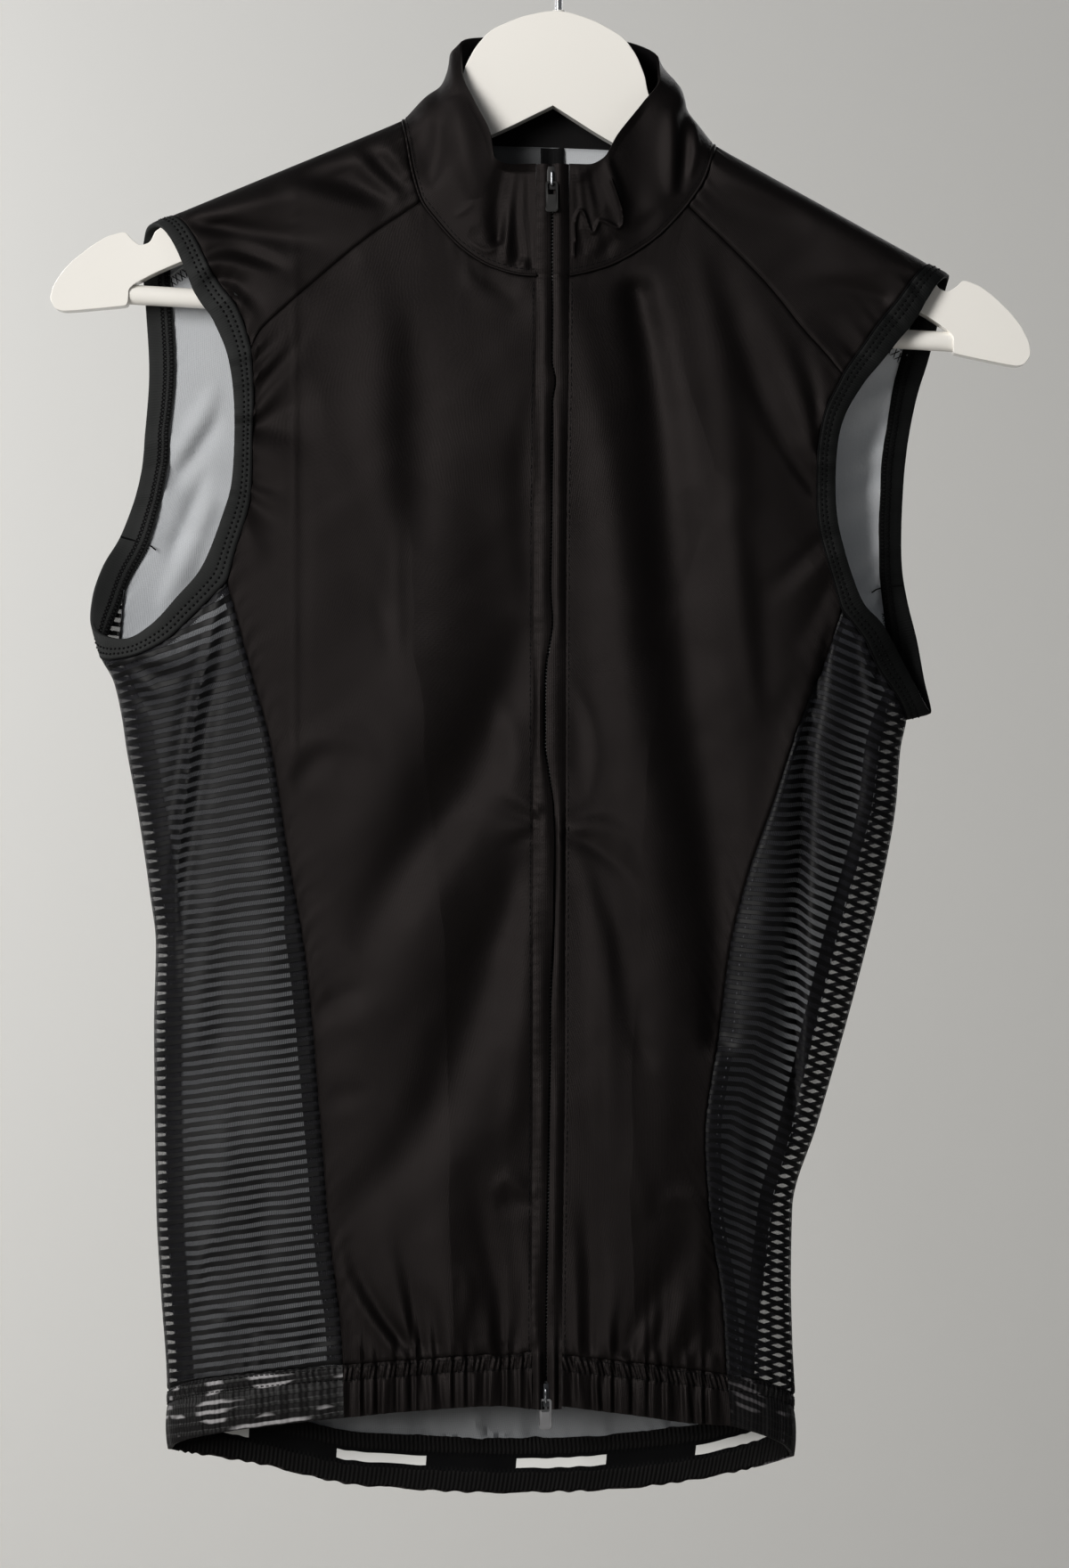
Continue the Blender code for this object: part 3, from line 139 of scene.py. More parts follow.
# The armhole as a loop of rows from the shoulder ridge down its front and up its back. `face` is 1 in front, -1
# behind and 0 on the ridge or the side edge; there the surface sets `down` or `x`. The binding's rim lies at `draw`
# times the body edge's distance from the middle of the bag.
ARMHOLE = {
    "left": table("face x down rim_x rim_down draw", """
    0 -167.2 0 -174.4 145.3 1, 1 -151.1 162.5 -158.7 168.2 1, 1 -138.1 182 -147.6 187.3 1,
    1 -132.3 199.2 -141.5 202.6 1, 1 -131.2 223.3 -138.8 224.1 1, 1 -132 254.3 -139.6 253.5 1,
    1 -134.6 271.5 -143.4 269.2 1, 1 -142.7 298.7 -152.6 292.5 1, 1 -156.4 312.4 -163.7 306 1,
    1 -170.6 325 -174.4 317.5 1, 1 -186.3 331.5 -186.3 324 0.9, 0 -196.9 330.5 -199.6 320 1,
    -1 -193.2 313.6 -200 306.7 0.35, -1 -186.3 296.7 -195.1 292.4 0.75, -1 -177.9 281.1 -187 278.7 1,
    -1 -170.6 254.3 -179.4 256.2 1, -1 -168.7 231.7 -176.8 233.2 1, -1 -166.8 209.1 -175.2 209.1 1,
    -1 -167.9 183.5 -176.7 181.6 1, -1 -169.1 169.8 -177.9 167.5 1, -1 -168.8 154.8 -177.6 153.2 1"""),
    "right": table("face x down rim_x rim_down draw", """
    0 159.5 0 167.2 167.5 1, 1 149.6 173.2 156.4 180.5 1, 1 134.6 192.7 143.4 198.1 1, 1 122.4 210.3 130.4 214.1 1,
    1 114 229 121.6 230.2 1, 1 111.3 250.5 118.7 249.7 1, 1 112.5 277.6 119.9 275.3 1, 1 122 311.3 129.3 305.9 1,
    1 131.6 323.5 139.2 318 0.85, 1 140.8 341.1 149.6 337.3 0.6, 0 149.6 358.3 159.4 355.6 1,
    -1 147 342.3 156.6 341.1 0.4, -1 144.2 325.8 153.4 323.8 0.6, -1 141.9 310.9 149.6 308.7 0.8,
    -1 139.6 292.5 146.9 292.4 1, -1 139.6 270 146.9 270 1, -1 141.1 244.3 148.8 244.3 1, -1 145 220.2 153 221.2 1,
    -1 149.6 202.6 158.4 203.6 1, -1 155.3 181.6 163.3 183.5 1"""),
}
# Rows of ARMHOLE where one panel's edge ends and the next begins.
ARM_CORNERS = {
    "left": {"front_yoke": 3, "front_seam": 7, "back_seam": 13, "back_yoke": 19},
    "right": {"front_yoke": 3, "front_seam": 7, "back_seam": 12, "back_yoke": 18},
}

FRONT_HEM_TOP = {"left": (635.6, 629.9), "right": (639.8, 631.4)}  # at the side seam, and at the zip
FRONT_HEM_EDGE = {
    "left": rows_of("-92.2 658.2, -64.3 655.5, -25.6 653.2, -11.2 654.4"),
    "right": rows_of("73.8 661.6, 56.2 660.5, 34.4 657.4, 15.3 655, 1.4 653.2"),
}
SIDE_HEM_TOP = {"left": 646.3, "right": 648.3}  # at the side edge
SIDE_HEM_EDGE = {"left": 671.6, "right": 674.6}
BACK_HEM_TOP = rows_of("-167.2 646.3, -125.1 655.1, -85.3 663.9, -10.3 666.6, 34.4 663.6, 63.5 660.1, 101 648.3")
BACK_HEM_EDGE = rows_of("""
    -167.2 671.6, -125.1 678.5, -107.1 683, -85.3 686.9, -25.6 690, 15.3 689.2, 44.4 686.5, 83 679.6, 101 674.6""")

# The collar's top edge, with the place along the neck seam (0 at the zip's left, 1 at its right) that it stands over.
COLLAR_TOP = table("share x down y", """
    0 -9.6 119.6 -20, 0.05 -20 119.8 -20, 0.1 -27.2 117.2 -19, 0.16 -29.5 106 -17.5, 0.22 -36.5 92 -14.5,
    0.28 -41.5 80 -9.5, 0.33 -42 68.6 0, 0.365 -38 65.9 4.8, 0.4 -30 65.3 8.5, 0.5 0 64.4 11.5, 0.6 28.7 67.2 9.5,
    0.67 43 74.5 0, 0.72 43.5 83 -9.5, 0.78 36.5 93 -14.5, 0.85 25.5 107 -17.5, 0.91 19.5 117 -19, 0.95 13 119.8 -20,
    1 4.6 119.6 -20""")
COLLAR_GATHERS = {"pitch": 6.6, "height": 0.28, "reach": 30.0}

# Folds of the front, the yokes and the side panels. Each starts with how it ends (1: it fades at both ends, 0: only at
# its start, because it runs into a seam, 2: at neither), its depth (negative for a ridge) and its half width. The rest
# is its line.
FOLDS = folds("""
# the left front: two long diagonal valleys from the zip, with the swells between them
1 5.5 11, -13.4 313.6, -22.6 344.2, -34 374.8, -52.4 403.5, -71.5 432.1, -88.7 458.9
1 -2.6 14, -46.7 256.2, -46.7 305.9, -57 344.2, -73.4 382.4, -92.6 420.7
1 5.5 10, -9.6 407.7, -19.9 432.1, -31.4 462.7, -42.8 501, -60.1 537.3, -81.1 560.3, -97.5 571.8
1 -2.6 11, -25.6 393.9, -45.5 418.8, -60.1 449.4, -75.4 481.9, -92.6 520.1
1 -1.8 6, -14.9 414.9, -13.4 451.3, -14.9 489.5, -18.7 520.1, -23.7 546.9
1 -2 9, -79.2 164.4, -76.1 202.6, -75.4 240.9, -71.5 286.8
1 2 8, -63.1 179.7, -60.8 217.9, -60.1 256.2, -56.2 286.8
1 1.3 5, -11.1 214.1, -14.9 248.5, -14.2 283, -12.2 313.6
1 0.5 3, -79.9 304, -75.4 315.5, -72.7 330.8
1 -0.4 2.2, -68.8 273.4, -69.2 302.1, -68.1 332.7
1 -1.6 5, -25.6 348, -19.9 367.1, -18 386.2
# the crease where it lay folded, and the swell that ends it
2 -0.4 0.8, -113.2 121.6, -113.2 202.6, -113.2 279.1, -113.2 372.9
1 0.3 3, -110.5 202.6, -110.2 286.8, -110.5 367.1
1 1.6 5, -113.6 388.2, -107.9 377.8, -97.5 370.2
1 -1.5 5, -116.7 386.2, -110.5 372.9, -99.1 365.2, -86.8 367.1, -77.3 374.8
1 1.2 4, -105.2 486.5, -96.4 478.8, -83 473.5
1 -1 5, -107.9 499.1, -92.6 489.5, -75.4 481.9
1 1 4, -101.4 525.9, -90.7 519.4, -79.2 517.1
# pulls off the left armhole
0 2.8 5, -101.4 222.5, -113.6 224.1, -123.2 227.9, -130.4 231.7
0 1.6 4, -100.2 234, -113.6 234.8, -129.7 233.2
0 -1.5 4, -105.2 191.9, -111.7 203.4, -120.5 214.9, -130.4 226.4
0 1.8 3, -106 181.6, -110.5 194.2, -118.2 205.7, -126.6 215.7, -130.4 222.5
0 -1.7 2.6, -113.6 191.9, -122 201.9, -130.4 211.8
0 1.5 2, -116.7 191.2, -125.1 199.6, -131.2 205.7
0 -1.3 1.8, -121.3 190.4, -127 195.8, -131.6 200.3
0 -1.6 6, -106 244.7, -118.2 245.5, -130.1 242.8
0 1.3 3, -117.4 258.1, -123.9 258.5, -130.4 256.6
0 1.8 4, -116.7 276.9, -123.9 271.5, -132.7 263.8
0 -1.2 4, -116.7 269.6, -125.1 264.6, -131.2 260.8
0 -1 4, -125.1 294.4, -130.8 283, -134.3 274.6
# below the neck seam
1 1.3 3.5, -37.9 162.9, -28.7 171.3, -17.2 175.9
1 -1.2 3.5, -41.7 164.4, -31.4 175.1, -19.9 181.6
1 1 8, -10.3 179.7, -21.8 181.6, -40.9 175.9
# the right front: a bright standing fold and the deep valley beside it
1 -3.2 9, 5 172, 14.2 210.3, 21.8 248.5, 26.8 286.8, 30.2 325, 34 367.1, 40.9 409.2, 47.8 455.1, 52.4 501
2 6.5 10, 34 175.9, 40.5 210.3, 44.8 248.5, 49.3 294.4, 54.3 336.5, 60.8 378.6, 66.2 416.8, 68.5 455.1, 68.5 493.3
1 -2.4 6, 58.5 152.9, 66.2 187.3, 73.1 225.6, 76.9 271.5, 80.7 317.4, 85.3 363.3
1 1.3 5, 78.4 263.8, 85.3 309.7, 89.9 351.8
0 2.8 5, 66.2 149.9, 74.6 179.7, 85.3 214.1, 97.5 240.9, 110.5 259.3
0 -2 5, 75.4 157.5, 92.2 191.2, 104.4 221.8, 111.7 247.8
0 1.8 3.2, 101.7 191.2, 110.2 217.9, 112.5 240.9
0 -1.2 3, 106.3 196.9, 114 217.9, 112.5 233.2
0 0.9 2.2, 106.3 229.4, 110.9 237.8, 110.9 244
0 0.9 2.2, 105.6 240.9, 109.8 247.8, 110.5 252.4
0 1.3 4, 82.2 306.7, 96.8 297.5, 114 280.7
0 -1.3 5, 92.2 317.4, 102.5 302.1, 115.1 288.7
0 1 4, 98.7 333.5, 107.5 317.4, 116.7 300.2
1 -0.6 2.5, 5 341.1, 10.7 351.1, 14.5 363.3, 15.7 378.6, 12.6 391.2, 5 390.8
1 0.9 4.5, 5.7 351.8, 8.8 367.1, 6.5 384.3
# a star of pulls at the zip, on both sides
0 1.5 3, -33.3 393.1, -21.8 397, -9.6 402.3
0 -1.3 3, -31.4 387, -19.9 391.2, -9.6 397
0 1.1 2.6, -27.5 414.9, -18.7 411.1, -9.6 406.1
0 -1 2.6, -30.2 405.4, -19.9 405.4, -9.6 404.2
0 1.5 3.2, 41.3 437.9, 27.9 422.6, 14.2 412.3, 3.4 407.7
0 -1.6 4.5, 45.1 432.1, 33.7 413, 17.2 403.5, 3.4 405.4
0 1.2 3, 24.1 395.8, 13.4 398.5, 3.4 403.5
1 -1.9 5, 5.7 413, 14.2 432.1, 19.5 462.7, 21.8 501, 21.8 546.9
1 1.6 5, 15.7 426.4, 26 451.3, 32.5 481.9, 36.3 508.6
1 -1.6 7, 39.4 447.4, 45.1 485.7, 46.7 523.9, 44 558.4
1 0.8 3, 29.8 489.5, 36.3 499.1, 41.3 510.6
1 -1 4, 30.2 543.1, 35.6 558.4, 38.6 573.7
# folds that rise from the left hem
1 -1.6 3, -28.7 561.4, -21 556.1, -14.2 561.4, -8.8 558.4
1 1.3 3, -27.5 566.8, -18 566, -10.3 568.3
0 -1.6 4, -21 562.2, -13.4 585.1, -10.3 623.4
0 2.6 4.5, -37.9 543.1, -32.5 577.5, -26.4 604.3, -24.9 628
0 -2.4 8, -45.5 539.2, -49.3 573.7, -47.8 600.4, -45.5 628
1 -1.4 2.8, -46.7 599.7, -40.9 597.4, -38.6 604.3, -40.9 619.6
0 2.2 4, -69.2 573.7, -64.6 600.4, -59.3 628
0 -1.8 4, -75.4 569.8, -69.2 600.4, -63.1 628
0 2.8 3.6, -91.4 578.3, -86.1 596.6, -76.1 614.2, -64.6 628
0 -1.8 4, -97.5 572.9, -90.7 596.6, -79.9 615.7, -71.5 628
0 1.6 3, -57 600.4, -53.9 615.7, -52.4 628
0 -1.4 3, -33.3 604.3, -31 615.7, -31.4 628
0 1.4 3, -16.1 596.6, -16.4 611.9, -18 628
# and from the right one
1 -2.2 4, 42.5 566.8, 52.8 563.3, 61.6 570.6, 63.1 589, 60.8 611.9
0 3.4 5.5, 55.5 570.6, 47.8 595.9, 36.3 615, 30.2 628
0 -1.8 4, 44 600.4, 37.1 615, 34 628
0 1.7 4, 10.7 562.2, 13.4 596.6, 13.4 628
0 -1.3 3.5, 5.4 554.5, 7.3 592.8, 7.3 628
0 -1.6 4, 18.7 573.7, 24.1 600.4, 21.8 628
0 1.6 3, 27.9 600.4, 25.6 615.7, 24.9 628
0 1.8 3, 50.9 600.4, 45.1 615, 41.7 628
0 -1.3 3, 56.6 600.4, 52.4 615.7, 49.3 628
0 1.6 3, 60.8 615.7, 57 623.4, 55.5 628
0 2 4, 66.2 558.4, 64.6 592.8, 66.2 628
# the left yoke
0 4.4 4.6, -82.2 155.2, -111.7 152.2, -139.6 147.9, -164.9 142.2
0 -3 6, -86.1 146.8, -107.9 137.6, -130.8 134.2, -158.7 136.1
1 2.4 2.6, -115.5 165.2, -128.1 159.8, -142.3 155.6, -153.4 159.4
0 -2.2 3.2, -116.7 172.8, -130.8 165.2, -143.4 162.1, -153.4 163.6
0 2 2.6, -125.1 184.3, -137.3 171.3, -148 169
0 -1.8 2.6, -127 190.4, -136.6 179.7, -143.4 176.6
1 -1.8 3.2, -91.4 110.1, -79.9 123.8, -66.9 135.3
1 1.8 3, -86.1 108.6, -75.4 120.8, -64.6 131.5
1 -1.4 3, -77.6 106.3, -69.2 118.5, -63.1 128.4
1 3.2 5, -118.2 120.8, -94.5 126.5, -70.8 136.1
1 -2.6 6, -120.5 128.4, -96.4 134.9, -75.4 142.6
1 1.8 6, -116.7 169, -101.4 165.2, -85.3 157.9
0 1.2 3, -139.6 136.9, -151.1 139.2, -160.3 139.9
# the right yoke
1 -1.6 6, 66.2 124.6, 85.3 128.1, 104.4 135.7
1 1.4 6, 62.3 134.6, 85.3 139.9, 108.2 148.3
0 1.8 4, 90.7 171.3, 104.4 172.8, 119.7 172.8, 139.6 177.4
0 -1.6 6, 93.7 179.7, 115.9 166.7, 135 164.4, 153.4 164.4
0 1.2 3, 136.9 162.5, 146.5 166.7, 152.6 170.5
0 -1 2.6, 138.8 167.5, 146.5 170.5, 149.6 173.6
0 1.4 3.5, 114 181.6, 125.5 181.6, 141.9 183.5
0 1.6 5, 106.3 184.3, 115.9 191.9, 126.6 199.6
# the left side panel: one sharp fold, and crumpling under the armhole
1 -3 1.8, -144.2 294.4, -148 317.4, -152.2 338.4, -156.4 359.9, -159.5 386.2, -162.6 409.2, -164.5 432.1,
-164.5 458.2, -163.7 478
1 1.9 3, -140.4 300.2, -144.2 322, -148 343.4, -152.2 364.8, -155.3 390.8, -158.4 413, -160.3 436, -160.3 462.7
1 1.9 3.4, -150.3 317.4, -154.9 336.5, -159.5 357.6, -162.9 382.4, -166 407.3, -167.9 432.1, -167.9 455.1
1 -1.2 6, -149.9 426.4, -151.1 455.1, -154.9 481.9, -158 508.6
1 1.5 7, -145 439.8, -145.7 478, -139.6 516.3, -137.3 546.9
1 -1.4 7, -125.1 393.9, -125.1 432.1, -122.8 470.4, -120.5 508.6
1 1.3 3, -186.3 333.5, -177.9 337.3, -168.7 342.6
1 -1.3 2.5, -184.4 338.8, -176.7 342.3, -170.2 348
1 1.4 2.5, -185.5 343.4, -179.4 348.8, -173.3 355.6
1 -1.2 2.2, -182.5 328.9, -171 333.5, -159.5 332.7
1 1.2 2.5, -176.7 344.2, -169.1 340.3, -161.4 335.8
1 -1.2 6, -143.4 493.3, -141.1 523.9, -145.7 558.4, -153.4 589, -160.3 615.7
1 1.2 5, -125.1 546.9, -126.6 573.7, -125.1 600.4
1 1.6 2.2, -149.6 613.5, -137.3 617.3, -125.1 623.4, -111.3 628
1 -1.3 2.5, -148 618.8, -135.8 612.7, -125.1 611.9
1 1.3 2.5, -113.6 629.1, -104 625.7, -95.2 623.4
1 -1.2 3, -161.4 623.4, -157.2 600.4, -151.9 581.3
1 1.1 3, -109.8 608.1, -104 615.7, -99.8 625.7
# the right side panel: a standing fold beside a deep valley
1 -2 5, 106.3 340.3, 99.1 374.8, 94.5 405.4, 89.9 439.8, 87.6 474.2, 89.9 508.6
1 8 2.4, 117.4 317.4, 109.8 351.8, 105.6 374.8, 103.7 405.4, 102.5 436, 102.1 466.6, 101.7 497.2, 101 546.9
1 -2.2 5, 122.8 332.7, 118.2 363.3, 115.9 393.9, 113.6 424.5, 109.8 455.1, 106.7 481.9
1 2.6 3, 133.1 351.8, 129.7 374.8, 125.8 401.5, 121.3 426.4, 116.7 449.4
1 -1.4 3, 138.8 351.8, 136.9 374.8, 132 401.5
1 1.4 2.2, 128.1 325, 128.9 340.3, 131.2 355.6
1 -1.2 2, 130.4 322, 132.3 338.4, 136.6 355.6
1 1.3 2, 135.8 328.9, 138.1 344.2, 141.9 357.6
1 1.3 2, 133.1 367.1, 138.8 371.7, 143.8 375.5
1 -1.2 2, 132 372.9, 138.1 377.1, 142.7 381.7
1 1.5 5, 83.8 520.1, 87.6 558.4, 89.9 592.8, 91.4 623.4
1 -1.5 5, 78.4 523.9, 81.5 562.2, 85.3 596.6, 86.1 623.4
1 1.3 5, 73.1 512.5, 75.4 554.5, 78.4 592.8, 81.5 623.4
""")
BACK_FOLDS = folds("""
1 2 9, -125 165, -95 190, -66 225
1 -1.4 8, -145 190, -118 215, -88 252
1 2 9, 96 178, 76 205, 56 240
1 -1.4 8, 124 210, 100 238, 78 266
0 1.6 4, -132 252, -150 246, -168 238
1 -2 3.4, -168 262, -156 244, -144 226
1 2 3.2, -166 250, -155 232, -146 214
1 -1.8 3, -168 292, -158 268, -150 250
1 1.8 3.2, -172 312, -160 290, -148 262
1 -1.6 4, -163 330, -156 312, -152 290
0 -1.2 4, -130 266, -150 258, -169 250
0 1.5 4, -134 285, -154 274, -170 262
0 1.6 4, 108 268, 124 262, 140 258
0 -1.2 4, 108 284, 124 276, 140 270
0 1.5 4, 106 300, 124 292, 140 284
0 1.7 2.8, 120 228, 132 223, 145 215
0 -1.4 2.6, 118 240, 131 235, 144 227
0 1.8 2.8, 114 254, 129 248, 143 241
0 1.6 3, 112 314, 126 304, 139 294
0 -1.5 2.8, 118 326, 130 316, 139 306
1 2.6 13, -55 240, -66 320, -74 400, -70 480
1 -2.2 12, -14 280, -26 360, -36 440, -34 520
1 2.6 12, 30 260, 40 340, 48 420, 44 500
1 -2 10, 84 320, 76 390, 66 460
1 2.2 11, -124 330, -112 400, -104 470, -108 540
1 -1.6 9, -92 430, -88 500, -92 580
1 1.8 9, 8 470, 4 540, 8 600
0 2.2 6, -96 520, -90 590, -82 656
0 -2 5, -66 560, -62 610, -60 660
0 2 6, -30 530, -34 600, -36 663
0 -1.8 5, -10 570, -8 620, -10 664
0 2.2 6, 22 540, 20 610, 18 662
0 -1.8 5, 46 560, 50 610, 48 658
0 2 5, 74 560, 72 610, 74 655
0 -1.6 5, -124 560, -120 610, -116 654
0 1.6 6, -148 500, -146 580, -144 650
1 1.4 3, -40 122, 0 128, 38 124
1 -1.1 4, -50 132, -6 140, 44 134
""")
COLLAR_FOLDS = folds("""
1 -3 5.4, -44.8 92.5, -40.9 107, -37.9 122.3, -35.6 136.9
2 3.6 4.2, -21 112.8, -23.7 126.1, -25.6 139.5, -26.4 153.7
2 2.6 4.6, -14.2 110.8, -14.9 126.1, -15.7 141.4, -15.7 160.6
1 1.6 3.4, -50.9 103.2, -52.4 116.6, -54.7 132.3
1 -0.4 1.2, -44.4 144.1, -40.2 141.8, -35.6 138.4
1 -0.7 1.1, -38.6 154.4, -34 157.5, -30.2 159, -26.4 157.5, -23.3 155.6
1 0.5 3, -37.9 149.9, -33.3 152.2, -28.7 152.9
0 -0.8 2.6, -23.3 124.6, -22.2 141.4, -22.2 162.9
0 0.9 2.6, -19.1 126.1, -18.4 145.3, -18.4 164.4
0 -0.8 2.4, -14.9 123.1, -14.5 145.3, -14.9 165.2
0 0.9 2.2, -11.5 122.3, -11.5 145.3, -11.5 165.9
1 1 3.6, -61.6 99.4, -58.5 114.7, -55.5 130.7
1 -2.4 2.2, 18.7 115.4, 21.8 126.1, 24.9 136.1, 27.2 144.5, 27.9 149.9
2 1.6 8, 32.5 99.4, 34 118.5, 33.3 137.6
1 -2.4 3.2, 47.8 97.5, 48.2 116.6, 47.8 135.7
1 2 2.8, 53.9 95.5, 53.9 114.7, 51.6 134.6
1 -1.2 1.8, 58.1 103.2, 57.8 116.6, 55.5 128.1
2 -1.2 0.62, 6.5 161.3, 6.9 153.7, 6.9 147.9, 7.7 144.1, 8.8 142.2, 10.3 142.6, 11.5 144.9, 12.6 148.3, 13.8 151,
14.9 151, 16.1 148.7, 17.2 146.4, 18.7 146.4, 21.8 147.6, 24.5 149.1, 26.4 148.3, 26.8 145.3, 26 140.7, 24.1 135.3,
21.8 129.2
1 0.9 2, 9.9 149.9, 10.7 156, 10.7 161.3
1 1 2.4, 24.1 152.9, 20.3 158.3, 15.7 162.1
1 -1 2.6, 8 120.8, 8.8 125.4, 8.8 130.7
1 1 2.4, 13.4 122.3, 15.7 131.9, 18.7 141.4
1 0.9 3, 24.1 152.9, 33.3 149.9, 43.2 141.4
""")

# Ripples above the front hem's gathered seam.
HEM_RIPPLES = {"pitch": 6.4, "height": 0.8, "reach": 9.0}
BROAD_WAVES = 0.16  # of the cloth everywhere

SLIDER = {"top_down": 120.6, "bottom_down": 642.9, "length": 10.3, "plate_half": 0.9, "wing_half": 3.2, "wing": 1.6}
# The slider's arch, which holds the pull: `top` and `foot` are below the slider's top.
ARCH = {"half_width": 1.15, "top": 2.2, "foot": 8.9, "leg": 0.9, "clear": 1.5, "plate": 0.8}
PULL = {"half_width": 2.75, "window": 1.6, "bar": 0.9, "window_height": 4.6, "length": 12.6, "thick": 0.9, "edge": 0.28}
ZIP_SLOT = 0.9  # between the folds of the plackets
ZIP_TAPE_HALF = 4.5
ZIP_PITCH = 1.5
PLACKET_BULGE = 1.25
# How far the fold beside the zip swerves from its line.
ZIP_SWERVE = table("down x", """
    119 0, 190 0.3, 204 0.4, 213 1.9, 222 0.7, 272 0.9, 300 0.7, 316 1.4, 336 -1.2, 352 -1.7, 368 -1.7, 384 0.5,
    397 2.2, 415 2.6, 440 2.4, 480 1, 560 0.4, 700 0""")
LABEL = {"left": -7.6, "right": 2.3, "top": 114.6, "foot": 128.0}
BAR = {"below": 131.3, "radius": 4.25, "reach": 176.9}
# The wire hook. `start` and `sweep` are the angles at which its round part leaves the stem and ends.
HOOK = {"radius": 18.6, "wire": 1.6, "straight": 8.0, "lead": 2.5, "start": -68.0, "sweep": 262.0}
SEAM_GAP = 0.04  # between pieces that are sewn together, as they look
SEAM_ROLL = {"depth": 0.8, "width": 0.6}  # how the cloth turns in at a seam
SEAM_LINES = (0.16, 0.42)  # extra grid lines by a seam, as shares of the first cell
LEAST_SINE = 0.25  # of a grid corner's angle, below which it is cut short
HEM_COLUMNS, HEM_ROWS = 200, 28
COLLAR_BULGE = 0.6
# How the collar's flanks bend: place along the neck, its width, row, its width, and how far they stand out.
COLLAR_FLANKS = rows_of("0.35 0.07 0.12 0.1 2.2, 0.35 0.07 0.42 0.15 -3.2, 0.67 0.07 0.3 0.16 4.2")
# The binding's outside from the panel to its rim: share of its width, height, and how much it puckers there.
BAND_PROFILE = rows_of("""
    -0.06 -1 0, -0.01 -0.45 0, 0.03 -0.08 0.3, 0.1 0.04 0.8, 0.19 0.02 0.8, 0.25 -0.08 0.3, 0.31 0.03 0.8,
    0.38 0.08 1, 0.45 0.04 0.8, 0.5 -0.06 0.3, 0.56 0.06 0.6, 0.65 0.14 0.8, 0.78 0.16 0.8, 0.9 0.08 0.6, 1 -0.1 0.4""")
# Its underside from the rim back to the panel: share of its width, and level above its lowest.
BAND_BACK = rows_of("0.97 0, 0.7 0, 0.4 -0.2, 0.1 -0.6, -0.26 -0.6, -0.29 -0.35, -0.26 -0.1, -0.06 0.4")
JOIN_DOWN = {"left": 279.5, "right": 299.8}  # where the binding's ends meet
# The striped panels: bands of net in close knit. `clear` is how much the net lets through.
STRIPE = {"pitch": 4.05, "net": 0.5, "clear": 0.93, "lift": 0.135, "more": 0.2, "fade": 45.0,
          "steep": 0.36, "turn": 37.0, "follow": {"left": 0.2, "right": 0.12}}
# sRGB tones. The binding's second, darker pair is painted shade for the right binding.
TONES = {"cloth": (6, 5, 5), "cloth_light": (10, 8, 8), "lining": (228, 232, 238), "lining_light": (240, 243, 247),
         "side_dark": (6, 6, 7), "side_net": (36, 36, 40), "binding": (34, 35, 35), "binding_light": (43, 44, 44),
         "binding_painted_shade": (12, 13, 13), "binding_painted_shade_light": (18, 19, 19)}


# --- curves --------------------------------------------------------------------------------------------------------
def smooth(stops, values, at):
    """A curve through the values that doesn't swing past them (a monotone cubic)."""
    at = np.clip(np.asarray(at, float), stops[0], stops[-1])
    step = np.diff(stops)
    rise = np.diff(values) / step
    slope = np.concatenate([rise[:1], np.zeros(len(stops) - 2), rise[-1:]])
    same = rise[:-1] * rise[1:] > 0
    slope[1:-1][same] = 2 * rise[:-1][same] * rise[1:][same] / (rise[:-1] + rise[1:])[same]
    i = np.clip(np.searchsorted(stops, at) - 1, 0, len(step) - 1)
    t = (at - stops[i]) / step[i]
    cubic = (2 * t**3 - 3 * t**2 + 1) * values[i] + (3 * t**2 - 2 * t**3) * values[i + 1]
    return cubic + step[i] * ((t**3 - 2 * t**2 + t) * slope[i] + (t**3 - t**2) * slope[i + 1])


def at_height(line, down, column="x"):
    """A column of a table at given heights."""
    return smooth(line["down"], line[column], down)


def spline(points, at):
    """Points of a Catmull-Rom curve at row numbers that need not be whole."""
    points = np.asarray(points, float)
    padded = np.vstack([2 * points[0] - points[1], points, 2 * points[-1] - points[-2]])
    i = np.clip(np.floor(at).astype(int), 0, len(points) - 2)
    t = (at - i)[:, None]
    a, b, c, d = padded[i], padded[i + 1], padded[i + 2], padded[i + 3]
    return 0.5 * (2 * b + (c - a) * t + (2 * a - 5 * b + 4 * c - d) * t**2 + (3 * b - a - 3 * c + d) * t**3)


def even_rows(points, count):
    """Row numbers that divide the curve through the points into equal lengths."""
    fine = np.linspace(0, len(points) - 1, 40 * len(points))
    steps = np.linalg.norm(np.diff(spline(points, fine), axis=0), axis=1)
    length = np.concatenate([[0], np.cumsum(steps)])
    return np.interp(np.linspace(0, length[-1], count + 1), length, fine)


def divided(points, count):
    return spline(points, even_rows(points, count))


# --- the bag: the garment's outer surface --------------------------------------------------------------------------
def ridge_down(x):
    """Height of the cloth where it lies over the hanger's arms."""
    apex_x = -ARM_APEX * math.sin(HANGER_TILT)
    apex_down = PLATE_TOP_DOWN + ARM_APEX * math.cos(HANGER_TILT)
    slope = np.where(x < apex_x, math.tan(ARM_SLOPE - HANGER_TILT), math.tan(ARM_SLOPE + HANGER_TILT))
    return apex_down + slope * np.abs(x - apex_x)


def edges_at(down):
    """The middle of the bag and half its width."""
    left, right = (at_height(OUTLINE, down, side) for side in SIDES)
    return (left + right) / 2, (right - left) / 2


